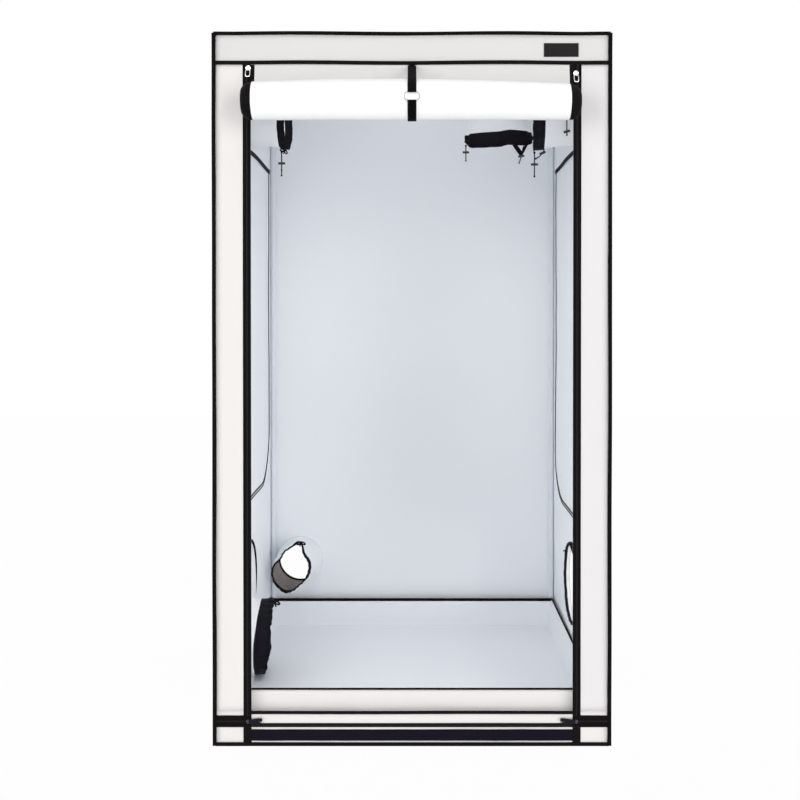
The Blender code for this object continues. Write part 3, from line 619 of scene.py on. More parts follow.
def ridged_zip(name, path, width, way, steps, radius):
    """A zip on the front with raised lines along its tape, each a step from its middle."""
    pieces = [zip_run("run", path, -Y, width)]
    for step in steps:
        line = moved(moved(path, way * step), -Y * (ZIP_TAPE + TRIM_GAP))
        pieces.append(cable("ridge", line, radius, WEBBING, -Y, sides=8))
    return merge(name, *pieces)


def front_zips():
    """The door's zips, the corner zips, the tape between them, the sill's zip and its hook band."""
    low, high = CORNER_ZIP
    middle = (low.z + high.z) / 2
    for label, side in SIDES:
        x = side * DOOR_ZIP_X
        path = resample([(x, FACE, STRIP_LOW), (x, FACE, STRIP_HIGH)], 0.05)
        run = ridged_zip(f"door_zip_run_{label}", path, DOOR_ZIP_WIDTH, X, DOOR_ZIP_RIDGES, radius=0.0011)
        root(run, "black_webbing", f"door_zip_{label}")
        path = resample([(x, FACE, STUB_LOW), (x, FACE, low.z - TRIM_GAP)], 0.01)
        trim(f"zip_stub_{label}", moved(path, -Y * (ZIP_TAPE / 2 + TRIM_GAP)), -Y, DOOR_ZIP_WIDTH, ZIP_TAPE)
        path = resample([(side * low.x, FACE, middle), (side * (HALF + 0.003), FACE, middle)], 0.02)
        run = ridged_zip(f"corner_zip_run_{label}", path, high.z - low.z, Z, CORNER_ZIP_RIDGES,
                         radius=0.0016)
        root(run, "black_webbing", f"corner_zip_{label}")
    path = resample([(-DOORWAY, FACE, SILL_ZIP_HEIGHT), (DOORWAY, FACE, SILL_ZIP_HEIGHT)], 0.05)
    root(zip_run("sill_zip", path, -Y, SILL_ZIP_WIDTH), "black_webbing")
    path = moved(resample([(-DOORWAY, FACE, 0), (DOORWAY, FACE, 0)], 0.02), -Y * (TRIM_GAP + HOOK_THICK / 2))
    middle = (HOOK_BAND[0].z + HOOK_BAND[1].z) / 2
    path = [point + Z * (middle + 0.0005 * noisy(point, 0.05, 71)) for point in path]
    root(tape("hook_band", path, -Y, HOOK_BAND[1].z - HOOK_BAND[0].z, HOOK_THICK, HOOKS), "black_webbing",
         "hook_loop_band")


def slider_piece(name, node, way, made_of, body_width=0.012, wide=0.0045, wire=0.00115, shift=0.0,
                 tilt=0.0):
    """A slider with a bridge and a ring pull, in the node's place; way is where the pull points."""
    low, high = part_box(node)
    across = way.cross(Y)
    tail = Vector(((low.x + high.x) / 2 + shift, high.y, (low.z + high.z) / 2))
    tail += way * (min(low.dot(way), high.dot(way)) - tail.dot(way))
    middle = tail + way * (SLIDER_LENGTH / 2)
    outline = [(SLIDER_LENGTH / 2 * math.cos(a), body_width / 2 * math.sin(a) * (1 - 0.22 * math.cos(a)))
               for a in turns(20)]
    rows = []
    for share, lift in ((0.86, 0), (1.0, 0.12), (1.0, 0.55), (0.8, 0.8), (0.4, 0.9)):
        level = Y * (SLIDER_HIGH * lift)
        rows.append([middle + way * (a * share) + across * (b * share) - level for a, b in outline])
    body = grid("body", rows, made_of, ring=True, caps=True)
    arch = [middle + way * (0.005 * math.cos(a)) - Y * (SLIDER_HIGH * 0.75 + 0.0022 * math.sin(a))
            for a in arc(0, math.pi, 8)]
    bridge = cable("bridge", arch, 0.0011, made_of, across, sides=8)
    ring_middle = middle + way * 0.0160 - Y * (SLIDER_HIGH * 0.72)
    loop = [ring_middle + way * a + across * b - Y * (tilt * (a + PULL_HALF))
            for a, b in squared_outline(PULL_HALF, wide, 3.2, 28)]
    return merge(name, body, bridge, cable("pull", loop, wire, made_of, Y, sides=8, loop=True))


def sliders():
    """Metal sliders on the door's zips, plastic ones with cloth tabs on the corner zips."""
    for label, side in SIDES:
        node = f"door_slider_{label}"
        made = slider_piece(f"door_pull_{label}", node, -Z, BRIGHT, body_width=0.0155, wide=0.0068,
                            wire=0.0014, shift=-side * 0.005, tilt=0.45)
        on_body(made, node, "bright_metal", node)
        node = f"corner_slider_{label}"
        low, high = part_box(node)
        way = -side * X
        parts = [slider_piece("metal", node, way, PLASTIC)]
        start = Vector(((low.x + high.x) / 2, high.y - 0.0046, (low.z + high.z) / 2))
        longer = 0.0 if side < 0 else 0.005
        for n, (rise, reach, width) in enumerate(((0.0065, 0.031, 0.0105), (-0.0030, 0.026, 0.0075))):
            begin = start + Z * rise * 0.3 - way * 0.010 - Y * (0.0012 * n)
            path = [begin] + [start + Z * rise + way * (reach + longer - short) for short in (0.012, 0)]
            parts.append(tape("tab", resample(path, 0.004), -Y, width, 0.0026, CUFF_CLOTH))
        on_body(merge(f"corner_pull_{label}", *parts), node, "black_plastic", node)


def side_door_zips():
    """Round each side door, on both faces: tape on the wall, a zip on the door, a bound top edge."""
    for label, side in SIDES:
        def on_cloth(points):
            return [point + cloth_depth(point, X * side, WALL_SEEDS[side], WALL_RIPPLE, ())
                    for point in resample(points, 0.02)]
        # wide is the tapes' width; arch, top_wide and rise shape the tape along the top edge
        for face, out, lift, wide, arch, top_wide, rise in (
                ("outside", X * side, 0.0, 0.011, 0.0, 0.010, 0.0088),
                ("inside", -X * side, CLOTH, 0.006, 0.012, 0.019, 0.006)):
            lie = X * (side * (HALF - lift))
            on_wall, on_door = [on_cloth([lie + Y * a + Z * b for a, b in side_door_outline(label, margin)])
                                for margin in (SIDE_ZIP_WALL, SIDE_ZIP_DOOR)]
            trim(f"side_zip_wall_{label}_{face}", moved(on_wall, out * (TRIM_GAP + ZIP_TAPE / 2)), out, wide,
                 ZIP_TAPE)
            run = zip_run(f"side_zip_door_{label}_{face}", on_door, out, wide)
            on_body(run, f"{label}_side_door", "black_webbing")
            start, end = SIDE_DOOR[0].y - 0.012, SIDE_DOOR[1].y + 0.012
            top = [lie + out * (TRIM_GAP + 0.0016) + Y * y + Z * (SIDE_DOOR[1].z + rise)
                   for y in (start, end)]
            path = [point + Z * (arch * math.sin(math.pi * ease(start, end, point.y) ** 1.6))
                    for point in on_cloth(top)]
            trim(f"side_door_top_{label}_{face}", path, out, top_wide, 0.0032, CUFF_CLOTH)


# Rolled front door

WINDINGS = 10
CORE = 0.006
ROLL_LEFT, ROLL_RIGHT = -0.511, 0.505
ROLL_EDGE = 0.0355
ROLL_END = 0.045
ROLL_CLOTH = 0.0011
DROP_LINES, DROP_COLUMNS, DROP_EDGE = 20, 110, 0.022
FOLD_DEPTH, FOLD_WIDTH = 0.0085, 0.016
SWELL, SMALL_SWELL, CREASE = 0.0030, 0.0012, 0.0052
STRAP_WIDTH, STRAP_THICK, STRAP_BEND = 0.026, 0.0017, 0.0021
RING_WIRE = 0.0012


def roll_taper(x):
    """The roll is thickest at its middle and thinnest at its right end; its underside is level."""
    share = (x - ROLL_LEFT) / (ROLL_RIGHT - ROLL_LEFT)
    return 0.985 - 0.055 * share + 0.105 * math.sin(math.pi * share)


def door_roll():
    """One sheet wound up: a spiral of cloth with black zip edges, drawn in a little at its ends."""
    middle, half = (ROLL_LEFT + ROLL_RIGHT) / 2, (ROLL_RIGHT - ROLL_LEFT) / 2
    stations = [middle + half * math.sin(math.pi / 2 * i / 26) for i in range(-26, 27)]
    steps = WINDINGS * 36
    rows = []
    for i in range(steps + 1):
        share = i / steps
        angle = -math.pi / 2 + math.tau * WINDINGS * (1 - share)
        base = ROLL_RADIUS - CLOTH - (ROLL_RADIUS - CORE) * share
        row = []
        for x in stations:
            into_end = max(0.0, abs(x - middle) - (half - ROLL_END)) / ROLL_END
            drawn = math.sqrt(1 - 0.55 * into_end ** 3.5)
            wave = 1 + 0.012 * noisy((x, share * 3, math.sin(angle)), 0.22, 5)
            radius = base * drawn * wave * roll_taper(x)
            droop = (roll_taper(x) - 1) * ROLL_RADIUS
            row.append(ROLL_CENTRE + X * x + Y * (radius * math.cos(angle))
                       + Z * (radius * math.sin(angle) + droop))
        rows.append(row)

    def pick(i, j):
        at = (stations[j] + stations[j + 1]) / 2
        return 1 if abs(at - middle) > half - ROLL_EDGE else 0
    # The roll's cloth is painted brighter than the skin, as painted light
    roll = grid("rolled_door", rows, LIGHT_PAINTED_DOOR_SKIN, WEBBING, pick=pick, towards=-Y)
    thicken(roll, ROLL_CLOTH)
    on_body(roll, "door_roll", "skin_cloth", "door_roll")
    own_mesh(roll)


def drop_fold(x, z, share, top):
    """How far the hanging door stands forward: two folds towards the strap, swells and slanting creases."""
    from_fold = (abs(x) - 0.02 - 0.10 * (1 - share)) / FOLD_WIDTH
    fold = FOLD_DEPTH * math.exp(-from_fold ** 2) * math.sin(math.pi * share)
    swell = SWELL * noisy((x, z * 0.5, 0), 0.16, 9) + SMALL_SWELL * noisy((x, z, 3), 0.05, 13)
    slanting = (abs(x) - 1.6 * (top - z), 0.3 * math.copysign(1, x), 0)
    swell += CREASE * noisy(slanting, 0.085, 19) * ease(0.03, 0.12, abs(x))
    return (fold + swell) * ease(0, 0.2, share) * ease(0, 0.2, 1 - share) + 0.0012


def door_drop():
    """The door between the header and the roll."""
    top, low = HEADER_LOW - 0.0006, ROLL_CENTRE.z - 0.006
    half = DOORWAY + 0.006
    behind = ROLL[1].y + 0.0008
    rows = []
    for i in range(DROP_LINES + 1):
        share = i / DROP_LINES
        z = top + (low - top) * share
        y = FACE + (behind - FACE) * ease(0, 0.85, share) * 0.96
        across = [half * (2 * j / DROP_COLUMNS - 1) for j in range(DROP_COLUMNS + 1)]
        rows.append([Vector((x, y - drop_fold(x, z, share, top), z)) for x in across])

    def pick(i, j):
        middle = half * (2 * (j + 0.5) / DROP_COLUMNS - 1)
        return 2 if abs(middle) > half - DROP_EDGE else 0
    # The sheet's outer face is painted greyer than the cloth, as painted shade under the header
    sheet = grid("door_drop", rows, SHADE_PAINTED_SKIN, LINING, WEBBING, WEBBING, pick=pick, towards=-Y)
    thicken(sheet, CLOTH, inner=1)
    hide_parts("door_sheet")
    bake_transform(sheet)


def strap():
    """The tie round the roll: two halves of webbing folded over a wire ring."""
    lie = ROLL_RADIUS * roll_taper(0) + 0.0010
    heart = ROLL_CENTRE + Z * (ROLL_RADIUS * (roll_taper(0) - 1))
    ring_centre = (RING[0] + RING[1]) / 2
    ring_centre.y = heart.y - lie - RING_WIRE
    half_wide, half_high = (RING[1].x - RING[0].x) / 2 - 0.0025, (RING[1].z - RING[0].z) / 2 + 0.0012
    level = ring_centre.z - heart.z
    above, beneath = math.asin((half_high + level) / lie), math.asin((half_high - level) / lie)

    def round_roll(start, stop, steps):
        return [heart + Y * (lie * math.cos(a)) + Z * (lie * math.sin(a)) for a in arc(start, stop, steps)]

    def strap_half(label, body, way, points):
        """Webbing along the points, and a fold over the ring's bar that lies the given way."""
        middle = ring_centre + way * half_high
        turn = [middle + way * (STRAP_BEND * math.cos(a)) - Y * (STRAP_BEND * math.sin(a))
                for a in (math.pi * (i / 10) for i in range(-1, 12))]
        fold = tape("fold", turn, lambda i: turn[i] - middle, STRAP_WIDTH, STRAP_THICK, STRAPPING)
        path = resample(points, 0.006)
        band = tape("band", path, lambda i: path[i] - heart - X * path[i].x, STRAP_WIDTH, STRAP_THICK,
                    STRAPPING)
        on_body(merge(f"strap_{label}", band, fold), body, "black_webbing", f"roll_strap_{label}")
    sewn = Vector((0, FACE - TRIM_GAP - 0.0032, HEADER_LOW + 0.004))
    bent = [sewn, sewn - Z * 0.006 - Y * 0.002, sewn - Z * 0.014 - Y * 0.009]
    strap_half("upper", "root", Z, bent + round_roll(math.radians(128), math.pi - above, 10))
    strap_half("lower", "door_roll", -Z, round_roll(math.pi + beneath, math.tau - math.radians(16), 26))
    loop = [ring_centre + X * a + Z * b for a, b in squared_outline(half_wide, half_high, 2.7, 48)]
    root(cable("ring_wire", loop, RING_WIRE, RING_STEEL, Y, sides=12, loop=True), "bright_metal",
         "strap_ring")


# Duct sleeves

SLEEVE_SIDES = 96
SLEEVE_STATIONS = 40
HOOP_POINTS = 72
PORT_SEAM, PORT_RING = 0.0021, 0.0062
PORT_BAND_WIDTH, PORT_BAND_THICK = 0.016, 0.0016


def between(rows, share):
    """A row of values at a share of the reach, on a smooth curve through the given rows."""
    last = len(rows) - 2
    n = max(k for k in range(last + 1) if rows[k][0] <= share or k == 0)
    a, b = rows[n], rows[n + 1]
    before, after = rows[max(0, n - 1)], rows[min(last + 1, n + 2)]
    span = b[0] - a[0]
    t = (share - a[0]) / span
    made = []
    for k in range(1, len(a)):
        slope_a = (b[k] - before[k]) / max(1e-6, b[0] - before[0]) * span
        slope_b = (after[k] - a[k]) / max(1e-6, after[0] - a[0]) * span
        made.append((2 * t**3 - 3 * t**2 + 1) * a[k] + (t**3 - 2 * t**2 + t) * slope_a
                    + (3 * t**2 - 2 * t**3) * b[k] + (t**3 - t**2) * slope_b)
    return made


def rim_step(table, angle):
    """An extra reach in metres at an angle, from a table of (degrees, metres) that goes once round."""
    if not table:
        return 0.0
    at = math.degrees(angle) % 360
    table = list(table) + [(table[0][0] + 360, table[0][1])]
    if at < table[0][0]:
        at += 360
    for (low, a), (high, b) in zip(table, table[1:]):
        if at <= high:
            return a + (b - a) * ease(low, high, at)
    return table[-1][1]


def sleeve(label, port, inward, across, up, radius, reach, rows, cuff, folds, seed, lean=(0.0, 0.0),
           tips=(), rim_table=(), cuff_table=(), inside=SHADE_PAINTED_SLEEVE_INSIDE, ring=False, channel=0.0028,
           piping=0.0030, piping_of=WEBBING, fray=0.0016):
    """A limp tube of cloth from a port to a black cuff gathered on its drawcord. What comes back is its rim.

    Each row holds the share of the reach, then, over the radius, sideways, up, half width, half height and
    fold depth. lean tilts the mouth, sideways and up; each tip is the angle, height and width of a drawn-out
    point in the rim; the tables add to the rim's reach and to where the cuff starts, by angle.
    """
    rows = (PORT_ROW,) + rows
    edge_station = min(SLEEVE_STATIONS - 4, max(4, round(SLEEVE_STATIONS * (1 - cuff / reach))))
    rings = []
    for i in range(SLEEVE_STATIONS + 1):
        ring_points = []
        for angle in turns(SLEEVE_SIDES):
            start = 1 - (cuff + rim_step(cuff_table, angle)) / reach
            if i <= edge_station:
                share = start * i / edge_station
            else:
                share = start + (1 - start) * (i - edge_station) / (SLEEVE_STATIONS - edge_station)
            sideways, rise, width, height, fold = between(rows, share)
            gathered = ease(1 - 1.6 * cuff / reach, 1, share)
            a, b = math.cos(angle), math.sin(angle)
            folding = math.cos(folds * angle + seed) + 0.5 * math.cos((2 * folds + 1) * angle + 2 * seed)
            spread = fold * folding / 1.5
            spread += 0.014 * gathered * math.cos(24 * angle + 1.5 * math.sin(3 * angle + seed))
            spread += 0.05 * ease(0.1, 0.7, share) * noisy((a, b, share * 2), 0.7, seed)
            for at, high, wide in tips:
                off = (angle - math.radians(at) + math.pi) % math.tau - math.pi
                spread += high * share * share * math.exp(-(off / math.radians(wide)) ** 2)
            ragged = fray * ease(0.7, 1, share) * noisy((a, b, 0), 0.16, seed + 2)
            tilt = share * (lean[0] * a + lean[1] * b)
            depth = reach * share * (1 + tilt) + share * share * rim_step(rim_table, angle) + ragged
            point = port + inward * max(depth, 0.0)
            point += across * (radius * (sideways + width * (1 + spread) * a))
            point += up * (radius * (rise + height * (1 + spread) * b))
            ring_points.append(point)
        rings.append(ring_points)

    def pick(i, j):
        return 1 if i >= edge_station else 0
    # the default finish inside the tube is dark: painted shade
    made = grid(f"sleeve_{label}", rings, SLEEVE_CLOTH, CUFF_CLOTH, inside, CUFF_CLOTH, ring=True, pick=pick)
    first = made.data.polygons[0]
    if first.normal.dot(first.center - sum(rings[0], Vector()) / SLEEVE_SIDES) < 0:
        made.data.flip_normals()
    thicken(made, CLOTH, inner=2)
    root(made, "silver_lining", f"{label}_sleeve")
    rim = rings[-1]

    def hoop(kind, path, thick, made_of, slot="black_webbing", sides=8):
        root(cable(f"sleeve_{label}_{kind}", path, thick, made_of, inward, sides, loop=True), slot)
    hoop("channel", rim, channel, CUFF_CLOTH)
    seam = circle(port - inward * 0.0004, across, up, radius + 0.0012, HOOP_POINTS)
    if ring:
        hoop("ring", seam, PORT_RING, WEBBING, sides=10)
    else:
        hoop("seam", seam, PORT_SEAM, SLEEVE_CLOTH, "silver_lining")
    edge = circle(port - inward * (CLOTH + 0.0016), across, up, radius - 0.0024, HOOP_POINTS)
    hoop("port_piping", edge, piping, piping_of)
    band = circle(port - inward * (CLOTH + 0.0022), across, up, radius + PORT_BAND_WIDTH / 2, HOOP_POINTS)
    trim(f"sleeve_{label}_port_band", band, -inward, PORT_BAND_WIDTH, PORT_BAND_THICK, loop=True)
    return rim


PORT_ROW = (0.00, 0.00, 0.00, 1.00, 1.00, 0.000)
UPPER_ROWS = (
    (0.10, 0.00, 0.00, 1.00, 1.00, 0.000),
    (0.35, 0.00, -0.02, 0.99, 0.98, 0.012),
    (0.58, 0.00, -0.05, 0.97, 0.97, 0.020),
    (0.68, 0.00, -0.12, 0.90, 0.96, 0.035),
    (0.84, 0.00, -0.22, 0.80, 0.92, 0.055),
    (1.00, 0.00, -0.26, 0.64, 0.86, 0.060),
)
UPPER_RIGHT_ROWS = (
    (0.10, 0.00, 0.00, 1.00, 1.00, 0.000),
    (0.35, 0.00, -0.02, 0.99, 0.98, 0.012),
    (0.60, 0.00, -0.08, 0.97, 0.97, 0.016),
    (0.74, 0.00, -0.17, 0.92, 0.96, 0.020),
    (0.86, 0.00, -0.22, 0.88, 0.92, 0.024),
    (1.00, 0.00, -0.25, 0.80, 0.89, 0.026),
)
ROOF_ROWS = (
    (0.08, 0.00, 0.00, 1.00, 1.00, 0.000),
    (0.30, 0.02, 0.00, 1.09, 0.86, 0.012),
    (0.55, 0.03, 0.00, 1.20, 0.66, 0.020),
    (0.74, 0.03, 0.00, 1.30, 0.50, 0.030),
    (0.88, 0.03, 0.00, 1.34, 0.44, 0.035),
    (1.00, 0.03, 0.00, 1.30, 0.38, 0.040),
)
BACK_ROWS = (
    (0.10, 0.00, 0.00, 1.00, 1.00, 0.000),
    (0.34, -0.05, 0.00, 0.98, 0.98, 0.010),
    (0.60, -0.12, 0.00, 0.94, 0.94, 0.015),
    (0.80, -0.16, -0.01, 0.90, 0.90, 0.020),
    (1.00, -0.24, -0.02, 0.80, 0.94, 0.022),
)
LEFT_LOWER_ROWS = (
    (0.03, 0.00, -0.34, 1.00, 1.00, 0.000),
    (0.08, -0.01, -1.05, 1.00, 0.97, 0.004),
    (0.14, -0.02, -1.27, 0.99, 0.92, 0.008),
    (0.30, -0.04, -1.30, 0.98, 0.875, 0.014),
    (0.75, -0.08, -1.30, 0.95, 0.860, 0.020),
    (1.00, -0.08, -1.30, 0.93, 0.860, 0.022),
)
RIGHT_LOWER_ROWS = (
    (0.30, 0.00, 0.00, 1.00, 1.00, 0.000),
    (0.65, 0.00, -0.01, 0.98, 0.985, 0.006),
    (1.00, 0.00, -0.02, 0.95, 0.965, 0.012),
)


def side_port(side, place):
    return Vector((side * (HALF - SKIN_INSIDE), FACE + place[0], place[1]))


def sleeves():
    """All six sleeves; what comes back is each one's rim."""
    roof_port = Vector((ROOF_PORT[0], FACE + ROOF_PORT[1], HEIGHT - SKIN_INSIDE))
    back_port = Vector((BACK_PORT[0], HALF - SKIN_INSIDE, BACK_PORT[1]))
    rims = {}
    for label, side, reach, rows, cuff, seed, lean in (
            ("upper_left", -1, 0.1465, UPPER_ROWS, 0.025, 1.0, 0.052),
            ("upper_right", 1, 0.1565, UPPER_RIGHT_ROWS, 0.036, 2.0, -0.053)):
        rims[label] = sleeve(label, side_port(side, UPPER_PORT), -side * X, Y, Z, UPPER_PORT[2], reach=reach,
                             rows=rows, cuff=cuff, folds=3, seed=seed, lean=(lean, 0.0), inside=SLEEVE_CLOTH)
    rims["lower_left"] = sleeve(
        "lower_left", side_port(-1, LOWER_PORT), X, Y, Z, LOWER_PORT[2], reach=0.0690, rows=LEFT_LOWER_ROWS,
        cuff=0.0275, folds=4, seed=2.0, lean=(-0.26, 0.235), ring=True, fray=0.0085,
        rim_table=((0, 0.006), (45, 0.003), (90, 0.0), (135, 0.004), (180, 0.009), (230, 0.006),
                   (270, 0.005)),
        cuff_table=((0, 0.010), (45, 0.006), (90, 0.002), (135, 0.004), (180, 0.009), (230, 0.009),
                    (270, 0.016)))
    rims["lower_right"] = sleeve(
        "lower_right", side_port(1, LOWER_PORT), -X, Y, Z, LOWER_PORT[2], reach=0.016, rows=RIGHT_LOWER_ROWS,
        cuff=0.006, folds=4, seed=3.0, inside=SLEEVE_CLOTH, channel=0.0052, piping=0.0012,
        piping_of=SLEEVE_CLOTH)
    rims["roof"] = sleeve(
        "roof", roof_port, -Z, X, Y, ROOF_PORT[2], reach=0.205, rows=ROOF_ROWS, cuff=0.050, folds=5, seed=4.0,
        rim_table=((170, -0.020), (188, -0.014), (204, 0.004), (215, 0.008), (240, 0.008), (265, 0.006),
                   (290, -0.003), (318, -0.001), (332, -0.005), (350, -0.012), (30, 0.0)),
        cuff_table=((170, -0.030), (190, -0.016), (210, 0.0), (250, 0.002), (290, 0.006), (320, 0.005),
                    (350, -0.004), (30, 0.0)))
    rims["back"] = sleeve(
        "back", back_port, -Y, X, Z, BACK_PORT[2], reach=0.175, rows=BACK_ROWS, cuff=0.014, folds=3, seed=5.0,
        tips=((68, 0.38, 15), (140, -0.27, 32), (206, 0.11, 24), (252, 0.09, 16), (310, -0.14, 30)),
        channel=0.0036, piping=0.0050)
    return rims


# Drawcords

CORD_RADIUS = 0.0021
TOGGLE_RADIUS = 0.0046
TOGGLE_PROFILE = (
    (-0.5, 0.35), (-0.47, 0.75), (-0.40, 0.98), (-0.30, 1.0), (-0.27, 0.86), (-0.23, 0.86), (-0.20, 1.0),
    (0.20, 1.0), (0.23, 0.86), (0.27, 0.86), (0.30, 1.0), (0.40, 0.98), (0.47, 0.75), (0.5, 0.35))


def toggle_piece(name, middle, way=X, length=0.026):
    """A small bar with rounded, grooved ends that a cord runs through."""
    across = way.cross(Y).normalized()
    rows = [circle(middle + way * (length * share), across, Y, TOGGLE_RADIUS * thick, 16)
            for share, thick in TOGGLE_PROFILE]
    return grid(name, rows, PLASTIC, ring=True, caps=True)


def drawcord(label, path, *nodes, sides=10):
    return root(cable(f"cord_{label}", path, CORD_RADIUS, CORD, Y, sides), "drawcord", *nodes)


def knot(name, centre, size):
    rows = []
    for level in arc(0, math.pi, 8):
        wide = size * math.sin(level) * (1 + 0.15 * math.cos(3 * level))
        rows.append(circle(centre + Z * (size * math.cos(level)), X, Y, max(0.0004, wide), 12))
    return grid(name, rows, CORD, ring=True, caps=True)


def bow(name, centre, size, turn=0.0):
    """Two small loops, two ends and a knot, tied at a cuff."""
    lean = Matrix.Rotation(turn, 3, "Y")
    parts = [knot("knot", centre, size * 0.36)]
    for side in (-1, 1):
        loop = []
        for angle in turns(22):
            reach = size * (1 - math.cos(angle)) / 2
            loop.append(centre + lean @ Vector((side * reach, -0.002 * math.sin(angle),
                                                size * 0.30 * math.sin(angle) - 0.35 * reach)))
        parts.append(cable("loop", loop, size * 0.17, CORD, Y, sides=8, loop=True))
        tail = [centre + lean @ Vector((side * size * 0.35 * math.sin(t), -0.001, -size * 0.95 * t))
                for t in arc(0, 1, 8)]
        parts.append(cable("end", tail, size * 0.15, CORD, Y, sides=8))
    return merge(name, *parts)


def declare_cord(path):
    length = sum((b - a).length for a, b in zip(path, path[1:]))
    tuple(path[0])
    [tuple(point) for point in path]


def cad_tails():
    """The tails in the CAD model, each on its own route, with the pieces that go with them."""
    for label in ("upper_left", "upper_right", "roof"):
        low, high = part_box(f"{label}_cord")
        top = Vector(((low.x + high.x) / 2, (low.y + high.y) / 2, high.z))
        path = [top - Z * drop for drop in arc(0, high.z - low.z, 16)]
        cord = drawcord(label, path, f"{label}_cord")
        bead_low, bead_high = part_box(f"{label}_toggle")
        bead = toggle_piece(f"toggle_{label}", (bead_low + bead_high) / 2)
        on_body(bead, f"{label}_toggle", "black_plastic", f"{label}_toggle")
        marks = [knot("knot", path[0], 0.0044), knot("knot", path[-1], 0.0036)]
        if label == "upper_left":
            marks += [knot("knot", path[-1] + Z * 0.020, 0.0033), knot("knot", path[0] - Z * 0.005, 0.0033)]
        ends = root(merge(f"cord_knots_{label}", *marks), "drawcord")
        declare_cord(path)


def shown_tail(label, points, bead_at, bead_way):
    """A tail that only the photograph shows, with a toggle at a share of its route."""
    path = resample(points, 0.004)
    cord = drawcord(label, path)
    end = root(knot(f"cord_end_{label}", path[-1], 0.0034), "drawcord")
    place = path[round(bead_at * (len(path) - 1))]
    bead = root(toggle_piece(f"toggle_{label}", place, bead_way.normalized(), 0.024), "black_plastic")
    declare_cord(path)


def rim_tail(label, rim, start, length, offset, size):
    """A short tail that lies along a cuff's rim, from a bow at the rim point nearest the start."""
    first = min(range(len(rim)), key=lambda k: (rim[k] - start).length)
    path = [rim[first] + offset]
    travelled = 0.0
    while travelled < length:
        path.append(rim[(first + len(path)) % len(rim)] + offset)
        travelled += (path[-1] - path[-2]).length
    cord = drawcord(label, path, sides=8)
    tied = root(bow(f"bow_{label}", rim[first] + offset * 1.5, size), "drawcord")
    declare_cord(path)


def cords(rims):
    """The tails in the CAD model keep their route; the others hang beside them as the photograph shows."""
    left_bow = root(bow("bow_upper_left", Vector((-0.4685, -0.012, 1.934)), 0.014, 0.5), "drawcord")
    cad_tails()
    shown_tail("upper_right_loop", [(0.4835, -0.022, 1.938), (0.4785, -0.020, 1.925), (0.466, -0.013, 1.911),
                                    (0.4535, -0.008, 1.904)], 0.36, X + Z * 0.4)
    shown_tail("upper_right_tie", [(0.552, -0.1075, 2.046), (0.552, -0.1095, 2.020), (0.552, -0.110, 1.974)],
               0.82, X * 0.9 + Z * 0.25)
    knot_at = Vector((0.4258, 0.226, 1.9545))
    for label, top, width in (("left", (0.3985, 0.236, 1.996), 0.017),
                              ("right", (0.4480, 0.238, 1.996), 0.010)):
        trim(f"roof_tie_{label}", resample([top, knot_at], 0.006), -Y, width, 0.0018, CUFF_CLOTH)
    shown_tail("roof_tie", [(0.4400, 0.240, 2.004), knot_at, (0.4245, 0.226, 1.943), (0.4168, 0.224, 1.921)],
               0.70, X + Z * 0.12)
    rim_tail("lower_left", rims["lower_left"], Vector((-0.503, 0.0, 0.252)), 0.036, X * 0.004, 0.019)
    rim_tail("lower_right", rims["lower_right"], Vector((0.585, 0.12, 0.425)), 0.034, -X * 0.003, 0.0075)
    rim_tail("back", rims["back"], Vector((-0.459, 0.43, 0.402)), 0.034, -Y * 0.003 + X * 0.003, 0.017)


# Spill tray

TRAY_CORNER = 0.004
TRAY_SIDE_HIGH = 0.115
TRAY_LEAN = 0.017
TRAY_WALLS, TRAY_STEPS = 9, 24
TRAY_CLOTH = 0.0009
TRAY_PIPING = 0.0034


def tray_ring(half_x, rear, front, heights):
    """A rounded rectangle of points; heights gives the level at the front, the sides and the rear."""
    bends = []
    for n, (x, y) in enumerate(((1, 1), (-1, 1), (-1, -1), (1, -1))):
        centre_x = x * (half_x - TRAY_CORNER)
        centre_y = rear - TRAY_CORNER if y > 0 else TRAY_CORNER - front
        bends.append([(centre_x + TRAY_CORNER * math.cos(a), centre_y + TRAY_CORNER * math.sin(a))
                      for a in (n * math.pi / 2 + turn for turn in arc(0, math.pi / 2, 6))])
    made = []
    for bend, after in zip(bends, bends[1:] + bends[:1]):
        (x, y), (next_x, next_y) = bend[-1], after[0]
        made += bend + [(x + (next_x - x) * i / TRAY_STEPS, y + (next_y - y) * i / TRAY_STEPS)
                        for i in range(1, TRAY_STEPS)]
    front_z, side_z, rear_z = heights
    points = []
    for x, y in made:
        level = side_z + (front_z - side_z) * ease(0, 1, (-y - front + 0.055) / 0.05)
        level += (rear_z - side_z) * ease(0, 1, (y - rear + 0.05) / 0.05)
        points.append(Vector((x, y, level)))
    return points


